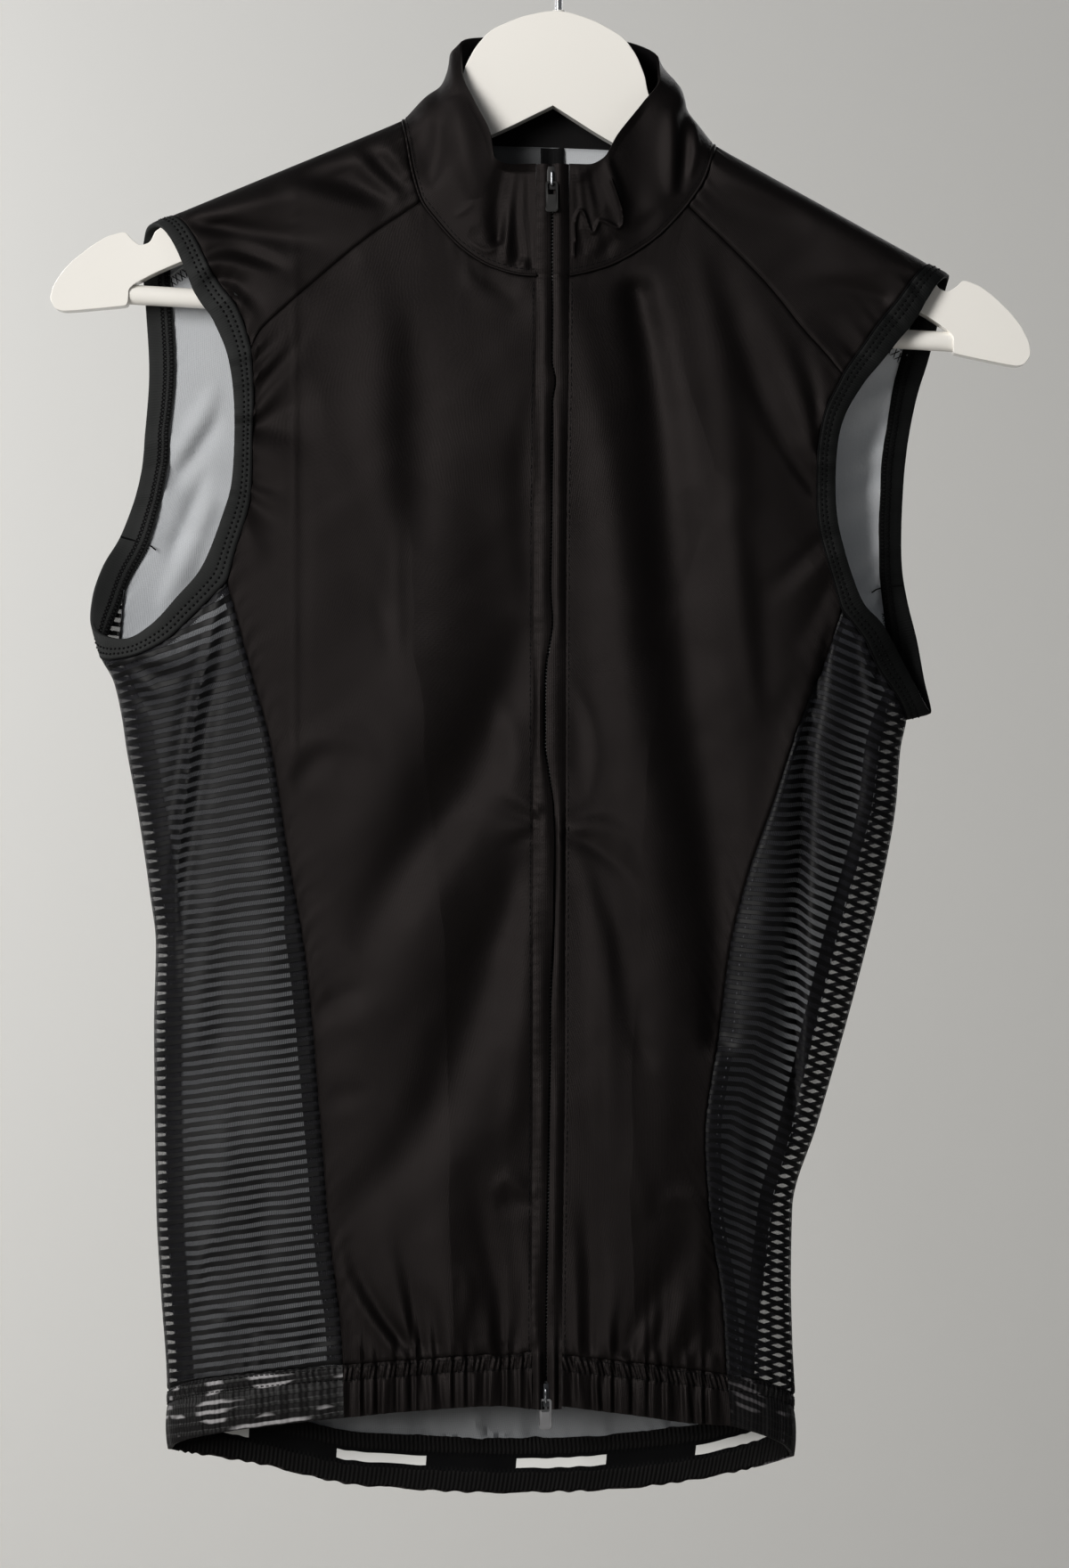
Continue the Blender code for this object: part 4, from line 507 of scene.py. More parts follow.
def pushed_by(creases, x, down):
    """How far the cloth is pushed in by a list of folds."""
    x, down = np.broadcast_arrays(np.asarray(x, float), np.asarray(down, float))
    total = np.zeros(x.shape)
    for (ends, depth, width), *line in creases:
        line = np.array(line)
        if len(line) > 2:
            line = spline(line, np.linspace(0, len(line) - 1, 3 * len(line) - 2))
        near = np.ones(x.shape, bool)
        for place, values in ((x, line[:, 0]), (down, line[:, 1])):
            near &= (place > values.min() - 4 * width) & (place < values.max() + 4 * width)
        if not near.any():
            continue
        px, pd = x[near], down[near]
        run = lengths(line)
        best, share = np.full(px.shape, 1e9), np.zeros(px.shape)
        for (ax, ad), (bx, bd), start, end in zip(line[:-1], line[1:], run[:-1], run[1:]):
            along = np.clip(((px - ax) * (bx - ax) + (pd - ad) * (bd - ad)) / (end - start) ** 2, 0, 1)
            away = (px - ax - along * (bx - ax)) ** 2 + (pd - ad - along * (bd - ad)) ** 2
            closer = away < best
            best = np.where(closer, away, best)
            share = np.where(closer, (start + along * (end - start)) / run[-1], share)
        wide = width * (1.35 - 0.6 * share if ends == 0 else 0.7 + 0.6 * np.sin(np.pi * share))
        fade = {1: np.sin(np.pi * share) ** 0.8, 0: np.sin(np.pi / 2 * share) ** 1.2, 2: 1.0}[ends]
        total[near] += depth * fade * np.exp(-best / wide**2)
    return total


def lengths(points, axis=0):
    """Running length along an axis of a line or a grid."""
    step = np.linalg.norm(np.diff(points, axis=axis), axis=-1)
    return np.concatenate([np.zeros_like(step.take([0], axis)), np.cumsum(step, axis)], axis)


def wander(at, pitch, seed=0.0):
    """A phase that never repeats evenly, for gathers of one pitch."""
    turn = 2 * np.pi * at / pitch
    return turn + 1.1 * np.sin(0.31 * turn + seed) + 0.6 * np.sin(0.83 * turn + 2.3 * seed)


def hem_ripples(x, down):
    top = np.where(x < 0, FRONT_HEM_TOP["left"][1], FRONT_HEM_TOP["right"][1])
    above = np.clip(top + 2 - down, 0, None)
    reach = HEM_RIPPLES["reach"] * (1 + 0.7 * np.sin(x / 5.3))
    side = np.clip((x + 96) / 8, 0, 1) * np.clip((72 - x) / 8, 0, 1)
    return HEM_RIPPLES["height"] * side * np.cos(wander(x, HEM_RIPPLES["pitch"])) * np.exp(-above / reach)


def broad_waves(x, down):
    """Slack that runs all over the cloth, in no order."""
    total = 0.0
    for k, (angle, pitch) in enumerate(((0.3, 61), (1.2, 47), (2.1, 38), (2.8, 29), (0.8, 23), (1.7, 17))):
        phase = (x * math.cos(angle) + down * math.sin(angle)) * 2 * np.pi / pitch + 1.7 * k
        total = total + pitch / 60 * np.sin(phase + 1.3 * np.sin(phase / 2.7 + k))
    return BROAD_WAVES * total


def surface_y(x, down, face):
    """Y of the front (face 1) or the back (face -1), as seen from the front."""
    middle_x, half = edges_at(down)
    across = np.sqrt(np.clip(1 - ((x - middle_x) / half) ** 2, 0, 1))
    full = np.where(face > 0, at_height(DEPTH, down, "front"), at_height(DEPTH, down, "back"))
    opened = full * (1 - (1 - across) ** SECTION_FULLNESS)
    below = np.clip(down - ridge_down(x), 0, None)
    near = np.clip(below, 0, SHOULDER_ROUND)
    cap = np.sqrt(np.clip(2 * SHOULDER_ROUND * near - near**2, 0, None)) / SHOULDER_ROUND
    share = np.clip(below / SHOULDER_REACH, 0, 1)
    share = share**2 * (3 - 2 * share)
    depth = cap * (SHOULDER_ROUND + (opened - SHOULDER_ROUND) * share)
    free = cap * np.clip(below / 12, 0, 1) * np.clip(2 * across, 0, 1)
    front = pushed_by(FOLDS, x, down) + hem_ripples(x, down) if np.any(face > 0) else 0.0
    back = -pushed_by(BACK_FOLDS, x, down) if np.any(face < 0) else 0.0
    pushed = np.where(face > 0, front, back)
    return at_height(DEPTH, down, "middle") - face * depth + (pushed + broad_waves(x, down)) * free


def to_true(seen):
    """Seen (x, y, down) to the real point (x, y, z)."""
    x, y, down = np.moveaxis(np.asarray(seen, float), -1, 0)
    scale = 1 + y / VIEW_DISTANCE
    return np.stack([VIEW_X + (x - VIEW_X) * scale, y, -VIEW_DOWN - (down - VIEW_DOWN) * scale], -1)


def ring_point(turn_down):
    """A point of the bag by its turn round the section, 0 at the left edge, pi at the right, and its height."""
    turn, down = np.moveaxis(np.asarray(turn_down, float), -1, 0)
    middle_x, half = edges_at(down)
    x = middle_x - half * np.cos(turn)
    return to_true(np.stack([x, surface_y(x, down, np.where(np.sin(turn) >= 0, 1, -1)), down], -1))


def ring_at(x, down, face):
    """The (turn, down) of a point of the front or the back."""
    middle_x, half = edges_at(down)
    turn = np.arccos(np.clip(-(x - middle_x) / half, -1, 1))
    return np.stack([np.where(face > 0, turn, -turn), down + 0 * turn], -1)


def shoulder_point(x_over):
    """A point near the ridge by x and `over`: its square is the distance below the ridge, negative behind it."""
    x, over = np.moveaxis(np.asarray(x_over, float), -1, 0)
    down = ridge_down(x) + over**2
    return to_true(np.stack([x, surface_y(x, down, np.where(over >= 0, 1, -1)), down], -1))


def shoulder_at(x, down, face):
    below = np.clip(down - ridge_down(x), 0, None)
    return np.stack([x, np.sign(face) * np.sqrt(below)], -1)


def outward(kind, at):
    """Unit normals of a surface, pointing out of the garment."""
    surface, steps = kind
    a, b = np.array([steps[0], 0]), np.array([0, steps[1]])
    normal = np.cross(surface(at + b) - surface(at - b), surface(at + a) - surface(at - a))
    return normal / np.linalg.norm(normal, axis=-1, keepdims=True)


# The two ways to place a point: the surface and the steps over which its slope is measured.
RING = (ring_point, (0.02, 1.0))
SHOULDER = (shoulder_point, (1.0, 0.15))
# How many millimetres a step of each coordinate is, about.
RING_SPREAD, SHOULDER_SPREAD = np.array([60.0, 1.0]), np.array([1.0, 4.4])


def unit_cross(a, b):
    across = np.cross(a, b)
    return across / np.linalg.norm(across, axis=-1, keepdims=True)


# --- meshes --------------------------------------------------------------------------------------------------------
def corners_of(rows, columns, wrap_rows=False, wrap_columns=False):
    """The four (row, column) corners of each face of a grid."""
    i, j = np.meshgrid(np.arange(rows - (not wrap_rows)), np.arange(columns - (not wrap_columns)), indexing="ij")
    i, j = i.ravel(), j.ravel()
    return np.stack([np.stack(c, -1) for c in ((i, j), (i + 1, j), (i + 1, j + 1), (i, j + 1))], 1)


def linked(name, data):
    """An object of the scene."""
    made = bpy.data.objects.new(name, data)
    bpy.context.collection.objects.link(made)
    return made


def dress(data, sharp, *materials):
    """Gives a mesh its materials and smooth shading, apart from edges sharper than `sharp` degrees."""
    for item in materials:
        data.materials.append(item)
    data.shade_smooth()
    data.set_sharp_from_angle(angle=math.radians(sharp))


def project(mesh):
    """UV from the place of each corner, seen from the front."""
    uv = mesh.loops.layers.uv.new("UVMap")
    for face in mesh.faces:
        for loop in face.loops:
            loop[uv].uv = (loop.vert.co.x, loop.vert.co.z)


def turn_outwards(data, *changes):
    """Turns all faces of a closed mesh outwards, and makes other changes to it."""
    mesh = bmesh.new()
    mesh.from_mesh(data)
    bmesh.ops.recalc_face_normals(mesh, faces=mesh.faces)
    for change in changes:
        change(mesh)
    mesh.to_mesh(data)
    mesh.free()


def quad_mesh(name, points, faces, uv, which, materials, sharp):
    """An object of quads: points in mm, uv for each corner in mm, and each face's material number."""
    data = bpy.data.meshes.new(name)
    data.from_pydata((points * 0.001).tolist(), [], faces.tolist())
    data.uv_layers.new(name="UVMap").data.foreach_set("uv", (uv * 0.001).reshape(-1).astype(np.float32))
    dress(data, sharp, *materials)
    data.polygons.foreach_set("material_index", np.asarray(which, np.int32))
    data.validate()
    return linked(name, data)


def flat_uv(points):
    """UV of a grid as its running lengths."""
    return np.stack([lengths(points, 1), lengths(points, 0)], -1)


def shell(name, outer, inner, uv, materials, sharp=50):
    """A closed wall between two grids. materials are the outer face's, the inner face's and the edge's."""
    rows, columns = outer.shape[:2]
    corners = corners_of(rows, columns)
    ids = np.arange(rows * columns).reshape(rows, columns)
    under = rows * columns
    face = ids[corners[..., 0], corners[..., 1]]
    edges = [(ids[0], uv[0]), (ids[:, -1], uv[:, -1]), (ids[-1, ::-1], uv[-1, ::-1]), (ids[::-1, 0], uv[::-1, 0])]
    rim, rim_uv = [], []
    for line, at in edges:
        rim.append(np.stack([line[:-1], line[1:], line[1:] + under, line[:-1] + under], -1))
        rim_uv.append(np.stack([at[:-1], at[1:], at[1:], at[:-1]], 1))
    rim, rim_uv = np.vstack(rim), np.vstack(rim_uv)
    skin_uv = uv[corners[..., 0], corners[..., 1]]
    i, j = middle = (rows // 2, columns // 2)
    normal = np.cross(outer[i + 1, j] - outer[middle], outer[i, j + 1] - outer[middle])
    faces = np.vstack([face, face[:, ::-1] + under, rim])
    all_uv = np.vstack([skin_uv, skin_uv[:, ::-1], rim_uv])
    if normal @ (outer[middle] - inner[middle]) < 0:
        faces, all_uv = faces[:, ::-1], all_uv[:, ::-1]
    points = np.vstack([outer.reshape(-1, 3), inner.reshape(-1, 3)])
    which = np.repeat([0, 1, 2], [len(face), len(face), len(rim)])
    return quad_mesh(name, points, faces, all_uv, which, materials, sharp)


def loop_skin(name, grid, uv, surface, sharp=60):
    """A ring whose cross-sections are the grid's rows, each a closed line."""
    rows, columns = grid.shape[:2]
    corners = corners_of(rows, columns, True, True)
    faces = (corners[..., 0] % rows) * columns + corners[..., 1] % columns
    corner_uv = uv[corners[..., 0], corners[..., 1]]
    made = quad_mesh(name, grid.reshape(-1, 3), faces, corner_uv, np.zeros(len(faces)), [surface], sharp)
    turn_outwards(made.data)
    return made


def frames_along(path, normals, step):
    """Points, tangents and normals at even steps of a polyline."""
    run = lengths(path)
    at = np.arange(step / 2, run[-1], step)

    def taken(values, shift=0.0):
        return np.stack([np.interp(at + shift, run, values[:, k]) for k in range(3)], -1)

    ahead = taken(path, 0.3) - taken(path, -0.3)
    tangent = ahead / np.linalg.norm(ahead, axis=-1, keepdims=True)
    side = unit_cross(taken(normals), tangent)
    return taken(path), tangent, side, unit_cross(tangent, side)


GOLDEN_ANGLE = 2.399  # in radians, so that no two neighbours are alike
# A stitch is a pointed bar with four sides: its two ends are points 0 and 9, its rings 1 to 4 and 5 to 8.
STITCH_FACES = np.array([(0, 1, 2, 2), (0, 2, 3, 3), (0, 3, 4, 4), (0, 4, 1, 1), (1, 5, 6, 2), (2, 6, 7, 3),
                         (3, 7, 8, 4), (4, 8, 5, 1), (9, 6, 5, 5), (9, 7, 6, 6), (9, 8, 7, 7), (9, 5, 8, 8)])


def stitch_row(path, normals, step, length, radius, turn=0.0, lift=0.0, sideways=0.0):
    """Stitches along a line as (points, faces). `turn` is each stitch's angle to the line, in degrees."""
    place, tangent, side, up = frames_along(path, normals, step)
    turn = np.radians(turn)
    way = tangent * np.cos(turn) + side * np.sin(turn)
    cross = side * np.cos(turn) - tangent * np.sin(turn)
    jitter = 0.06 * np.sin(np.arange(len(place)) * GOLDEN_ANGLE)[:, None]
    middle = place + up * lift + side * (sideways + jitter)
    rings = []
    for along in (-0.5, -0.3, 0.3, 0.5):
        centre = middle + way * along * length
        if abs(along) == 0.5:
            rings.append((centre - up * radius * 0.6)[:, None])
        else:
            rings.append(np.stack([centre + cross * radius, centre + up * radius, centre - cross * radius,
                                   centre - up * radius], 1))
    points = np.concatenate(rings, 1)
    return points.reshape(-1, 3), (STITCH_FACES[None] + 10 * np.arange(len(points))[:, None, None]).reshape(-1, 4)


def joined(name, parts, surface, sharp=80):
    """One object from several (points, faces). A face whose last two numbers are equal is a triangle."""
    starts = np.cumsum([0] + [len(points) for points, _ in parts])
    points = np.vstack([points for points, _ in parts])
    faces = np.vstack([faces + start for (_, faces), start in zip(parts, starts)])
    data = bpy.data.meshes.new(name)
    data.from_pydata((points * 0.001).tolist(), [], [f[:3] if f[2] == f[3] else f for f in faces.tolist()])
    dress(data, sharp, surface)
    turn_outwards(data, project)
    return linked(name, data)


def rod(route, normals, across, up, sides):
    """A closed bar along a line as (points, faces), oval in section: half its width and half its height."""
    tangent = np.gradient(route, axis=0)
    side = unit_cross(normals, tangent)
    over = unit_cross(tangent, side)
    angle = np.arange(sides) * 2 * np.pi / sides
    rows = len(route)
    across, up = np.broadcast_to(across, rows)[:, None, None], np.broadcast_to(up, rows)[:, None, None]
    ring = (route[:, None] + side[:, None] * across * np.cos(angle)[None, :, None]
            + over[:, None] * up * np.sin(angle)[None, :, None])
    corners = corners_of(rows, sides, False, True)
    faces = corners[..., 0] * sides + corners[..., 1] % sides
    ends = []
    for base, middle in ((0, rows * sides), ((rows - 1) * sides, rows * sides + 1)):
        for j in range(sides):
            ends.append((middle, base + j, base + (j + 1) % sides, base + (j + 1) % sides))
    return np.vstack([ring.reshape(-1, 3), route[:1], route[-1:]]), np.vstack([faces, ends])


def worn(made, slot, body="gilet", *nodes):
    """Every piece's body and, if it stands for one, CAD node. Its finish, `slot`, is not used."""
    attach(made, body)
    if nodes:
        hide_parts(*nodes)


# --- panels --------------------------------------------------------------------------------------------------------
def coons(top, bottom, left, right):
    """The grid between four edges. Top and bottom run left to right, left and right run down."""
    u = np.linspace(0, 1, len(top))[None, :, None]
    v = np.linspace(0, 1, len(left))[:, None, None]
    across = (1 - u) * left[:, None] + u * right[:, None]
    along = (1 - v) * top[None] + v * bottom[None]
    corners = (1 - v) * ((1 - u) * top[0] + u * top[-1]) + v * ((1 - u) * bottom[0] + u * bottom[-1])
    return across + along - corners


def drawn_in(points, amount, sides="tblr"):
    """The grid with its border moved inwards, within its own surface."""
    moved = points.copy()
    for side, axis, end, inner in (("t", 0, 0, 1), ("b", 0, -1, -2), ("l", 1, 0, 1), ("r", 1, -1, -2)):
        if side not in sides:
            continue
        edge = points.take(end, axis)
        tangent = np.gradient(edge, axis=0)
        tangent /= np.linalg.norm(tangent, axis=-1, keepdims=True)
        across = points.take(inner, axis) - edge
        square = across - tangent * (across * tangent).sum(-1, keepdims=True)
        size = np.linalg.norm(square, axis=-1, keepdims=True)
        way = square * amount / size
        for corner in (0, -1):
            reach = max(size[corner], LEAST_SINE * np.linalg.norm(across[corner]))
            way[corner] = across[corner] * amount / reach
        if axis == 0:
            moved[end] += way
        else:
            moved[:, end] += way
    return moved


def relief(points, **edges):
    """How far a panel stands off its plain surface: it rolls into its seams and puckers along them.
    Each edge, by its side, has the puckers' height, pitch and reach, and how deep it rolls in."""
    total = np.zeros(points.shape[:2])
    for side, (height, pitch, reach, *roll) in edges.items():
        axis = 0 if side in "tb" else 1
        run = lengths(points, axis)
        away = run if side in "tl" else run.take([-1], axis) - run
        along = lengths(points, 1 - axis)
        uneven = 1 + 0.6 * np.sin(along / (2.7 * pitch) + pitch)
        total += height * uneven * np.cos(wander(along, pitch, reach)) * np.exp(-away / reach)
        total -= (roll[0] if roll else SEAM_ROLL["depth"]) * np.exp(-((away / SEAM_ROLL["width"]) ** 2))
    return total


def with_seam_lines(grid):
    """The grid with extra lines close to its borders, which shape the groove of the seam."""
    for _ in range(2):
        near = [grid[:1] + (grid[1:2] - grid[:1]) * share for share in SEAM_LINES]
        far = [grid[-1:] + (grid[-2:-1] - grid[-1:]) * share for share in reversed(SEAM_LINES)]
        grid = np.concatenate([grid[:1], *near, grid[1:-1], *far, grid[-1:]]).swapaxes(0, 1)
    return grid


def panel(name, kind, grid, materials, wall=WALL, under=0.0, sides="tblr", uv=None, edges=None):
    """A wall on the bag's surface, or `under` it. `sides` are the edges that are sewn, and `edges` their relief."""
    if sides:
        grid = with_seam_lines(grid)
        uv = None if uv is None else with_seam_lines(uv)
    normals = outward(kind, grid)
    points = drawn_in(kind[0](grid), SEAM_GAP / 2, sides)
    outer = points + normals * (relief(points, **(edges or {})) - under)[..., None]
    return shell(name, outer, outer - normals * wall, flat_uv(points) if uv is None else uv, materials)


def arm_part(side, first, last):
    """The body edge between two rows of ARMHOLE: its (x, down) points and the face that each lies on."""
    loop = ARMHOLE[side]
    x, down, face = loop["x"].copy(), loop["down"].copy(), loop["face"]
    down[0] = ridge_down(x[0])
    rows = np.arange(len(x) + 1) % len(x)
    body = np.stack([x[rows], down[rows]], -1)[first : last + 1]
    return body, face[rows][first : last + 1]


def armhole_stations(side, times=1):
    """The loop of body-edge points by the piece that each stretch edges, in bag or shoulder coordinates."""
    corners = ARM_CORNERS[side]
    end = len(ARMHOLE[side]["x"])
    parts = {}
    for name, first, last, count in (
        ("front", corners["front_yoke"], corners["front_seam"], ARM_ROWS),
        ("side", corners["front_seam"], corners["back_seam"], SIDE_COLUMNS),
        ("back", corners["back_seam"], corners["back_yoke"], ARM_ROWS),
    ):
        body, face = arm_part(side, first, last)
        at = ring_at(body[:, 0], body[:, 1], np.where(face == 0, 1, face))
        at[face == 0, 0] = 0.0 if side == "left" else np.pi
        if side == "right":
            at[:, 0] = np.where(at[:, 0] < 0, at[:, 0] + 2 * np.pi, at[:, 0])
        rows = even_rows(at * RING_SPREAD, count * times)
        parts[name] = {"at": spline(at, rows), "rows": rows + first, "kind": RING}
    body, face = arm_part(side, corners["back_yoke"], end)
    body_front, face_front = arm_part(side, 0, corners["front_yoke"])
    at = shoulder_at(*np.vstack([body, body_front[1:]]).T, np.concatenate([face, face_front[1:]]))
    rows = even_rows(at * SHOULDER_SPREAD, YOKE_ROWS * times)
    parts["yoke"] = {"at": spline(at, rows), "rows": rows + corners["back_yoke"], "kind": SHOULDER}
    return parts


def seam_points(curve, face, kind):
    curve = np.asarray(curve)
    at = ring_at if kind is RING else shoulder_at
    return at(curve[:, 0], curve[:, 1], np.full(len(curve), face))


def front_seam(side):
    seam = FRONT_SEAM[side]
    down = np.linspace(seam["down"][0], FRONT_HEM_TOP[side][0], SIDE_ROWS + 1)
    return ring_at(at_height(seam, down), down, np.ones(len(down)))


def back_seam_turn(side, down):
    inset = at_height(BACK_SEAM[side], down, "inset")
    turn = np.sign(inset) * np.arccos(1 - np.abs(inset) / edges_at(down)[1])
    return turn if side == "left" else np.pi - turn


SEAM_FOOT_STEPS = 30  # by then it no longer moves


def seam_foot(side, line):
    """Where a back seam meets a line of the back hem."""
    down = 650.0
    for _ in range(SEAM_FOOT_STEPS):
        turn = float(back_seam_turn(side, down))
        down = float(hem_line(line, turn))
    return turn, down


def back_seam(side):
    down = np.linspace(BACK_SEAM[side]["down"][0], seam_foot(side, BACK_HEM_TOP)[1], SIDE_ROWS + 1)
    return np.stack([back_seam_turn(side, down), down], -1)


def side_hem_line(side, front_down, edge_down, line, count):
    """A hem line of the side panel, from the front seam over the side edge to the back seam."""
    start = ring_at(float(at_height(FRONT_SEAM[side], front_down)), front_down, 1)
    edge = 0.0 if side == "left" else np.pi
    turns = np.linspace(start[0], seam_foot(side, line)[0], count + 1)
    share = np.clip((turns - start[0]) / (edge - start[0]), 0, 1)
    behind = np.sin(turns) < 0
    return np.stack([turns, np.where(behind, hem_line(line, turns), front_down + (edge_down - front_down) * share)], -1)


def front_panel(side, arm):
    """Left to right in the grid is from the armhole to the zip on both sides."""
    yoke_edge = divided(FRONT_YOKE[side], YOKE_COLUMNS)[::-1]
    neck = divided(FRONT_NECK[side], NECK_COLUMNS)[::-1]
    top = seam_points(np.vstack([yoke_edge, neck[1:]]), 1, RING)
    outer = np.vstack([arm["front"]["at"], front_seam(side)[1:]])
    down = np.linspace(FRONT_NECK[side][0][1], FRONT_HEM_TOP[side][1], len(outer))
    centre = ring_at(at_height(STITCH_LINE[side], down), down, np.ones(len(down)))
    bottom = outer[-1] + (centre[-1] - outer[-1]) * np.linspace(0, 1, len(top))[:, None]
    made = panel(f"front_{side}_cloth", RING, coons(top, bottom, outer, centre), (CLOTH, LINING, CLOTH),
                 edges={"t": (0.16, 9, 4), "l": (0.35, 8, 7), "r": (0.12, 5, 4, 0.15), "b": (0.3, 3.4, 3)})
    worn(made, "outer_cloth", "gilet", f"front_{side}")


def yoke(side, arm):
    """Rows run over the shoulder from the front seam to the back seam, columns from the neck to the armhole."""
    front = seam_points(divided(FRONT_YOKE[side], YOKE_COLUMNS), 1, SHOULDER)
    back = seam_points(divided(BACK_YOKE[side], YOKE_COLUMNS), -1, SHOULDER)
    grid = coons(front, back, yoke_neck(side), arm["yoke"]["at"][::-1])
    made = panel(f"yoke_{side}_cloth", SHOULDER, grid, (CLOTH, LINING, CLOTH),
                 edges={"t": (0.16, 9, 4), "b": (0.16, 9, 4), "l": (0.2, 7, 4), "r": (0.3, 8, 6)})
    worn(made, "outer_cloth", "gilet", f"yoke_{side}")


def yoke_neck(side):
    """The yoke's neck edge, from its front corner over the ridge to its back corner."""
    ridge_x, between = RIDGE_NECK[side]
    points = np.array([FRONT_YOKE[side][0], between, (ridge_x, float(ridge_down(ridge_x))), BACK_YOKE[side][0]])
    at = shoulder_at(points[:, 0], points[:, 1], np.array([1, 1, 0, -1]))
    return spline(at, even_rows(at * SHOULDER_SPREAD, YOKE_ROWS))


def hem_line(points, turns):
    """Heights of a hem outline at given turns."""
    points = np.asarray(points, float)
    middle_x, half = edges_at(BACK_HEM_TOP[0][1])
    return smooth(points[:, 0], points[:, 1], middle_x - half * np.cos(turns))


def back_panel(arms):
    left, right = (np.vstack([arms[side]["back"]["at"][::-1], back_seam(side)[1:]]) for side in SIDES)
    right[:, 0] -= 2 * np.pi
    top = np.vstack([
        divided(BACK_YOKE["left"], YOKE_COLUMNS)[::-1],
        divided(BACK_NECK, NECK_COLUMNS)[1:],
        divided(BACK_YOKE["right"], YOKE_COLUMNS)[1:],
    ])
    top = seam_points(top, -1, RING)
    turns = np.linspace(left[-1, 0], right[-1, 0], len(top))
    bottom = np.stack([turns, hem_line(BACK_HEM_TOP, turns)], -1)
    bottom[0], bottom[-1] = left[-1], right[-1]
    made = panel("back_cloth", RING, coons(top, bottom, left, right), (CLOTH, LINING, CLOTH),
                 edges={"t": (0.16, 9, 4), "l": (0.3, 8, 6), "r": (0.3, 8, 6), "b": (0.7, 6.2, 12)})
    worn(made, "outer_cloth", "gilet", "back")


def side_panel(side, arm):
    front, back, top = front_seam(side), back_seam(side), arm["side"]["at"]
    foot = side_hem_line(side, FRONT_HEM_TOP[side][0], SIDE_HEM_TOP[side], BACK_HEM_TOP, len(top) - 1)
    foot[0], foot[-1] = front[-1], back[-1]
    grid = coons(top, foot, front, back)
    made = panel(f"side_{side}_cloth", RING, grid, (MESH_CLOTH,) * 3, uv=stripe_uv(side, grid), wall=0.6,
                 edges={"t": (0.35, 7, 7), "l": (0.2, 5, 4), "r": (0.2, 5, 4), "b": (0.5, 6, 10)})
    worn(made, "striped_mesh", "gilet", f"side_{side}")


def stripe_uv(side, grid):
    """U runs round the bag and V across the stripes, which climb towards the front seam and follow the folds."""
    turn, down = grid[..., 0], grid[..., 1]
    middle_x, half = edges_at(down)
    round_x = half * (turn if side == "left" else np.pi - turn)
    from_edge = half * (1 - np.cos(turn)) if side == "left" else half * (1 + np.cos(turn))
    rise = (STRIPE["lift"] + STRIPE["more"] * np.exp(-(down - 315) / STRIPE["fade"])) * from_edge
    if side == "right":
        rise = 0.06 * from_edge + STRIPE["steep"] * np.minimum(from_edge, STRIPE["turn"])
    folded = STRIPE["follow"][side] * pushed_by(FOLDS, middle_x - half * np.cos(turn), down)
    return np.stack([round_x, down + np.where(np.sin(turn) > 0, rise + folded, -0.6 * rise)], -1)


def seam_strip(name, at, widths, toward, under, dots):
    """A seam's allowance inside the bag, which shows through the net, and pale dots along its free edge: painted light,
    where light shows through the net beside it.
    """
    shift = np.array([0.01, 0.0])
    speed = np.linalg.norm(ring_point(at + shift) - ring_point(at - shift), axis=-1) / 0.02
    share = np.linspace(0, 1, 5)[None, :, None]
    grid = at[:, None] + share * toward * np.stack([widths / speed, 0 * widths], -1)[:, None]
    points, normals = ring_point(grid), outward(RING, grid)
    ragged = 0.25 * np.sin(wander(lengths(points, 0), 4.05, 2.0))
    outer = points - normals * (under + 0.1 * share[..., 0] * ragged)[..., None]
    worn(shell(name, outer, outer - normals * 0.5, flat_uv(points), (DARK_LINING,) * 3), "outer_cloth")
    row = stitch_row(outer[:, 3], normals[:, 3], dots, 1.1, 0.26, lift=0.16)
    worn(joined(f"{name}_stitches", [row], PAINTED_LIGHT_DOTS), "outer_cloth")


def side_strips(side):
    toward = -1 if side == "left" else 1
    for name, seam, width, under, dots in (
        ("front", front_seam(side), table("down x", "290 3, 425 3.6, 452 7.4, 700 6.6"), 1.15, 4.05),
        ("back", back_seam(side), table("down x", "290 0.8, 340 0.8, 362 5.6, 700 5.6"), WALL + 0.2, 5.1),
    ):
        seam_strip(f"seam_{name}_{side}_cloth", seam, at_height(width, seam[:, 1]), toward, under, dots)


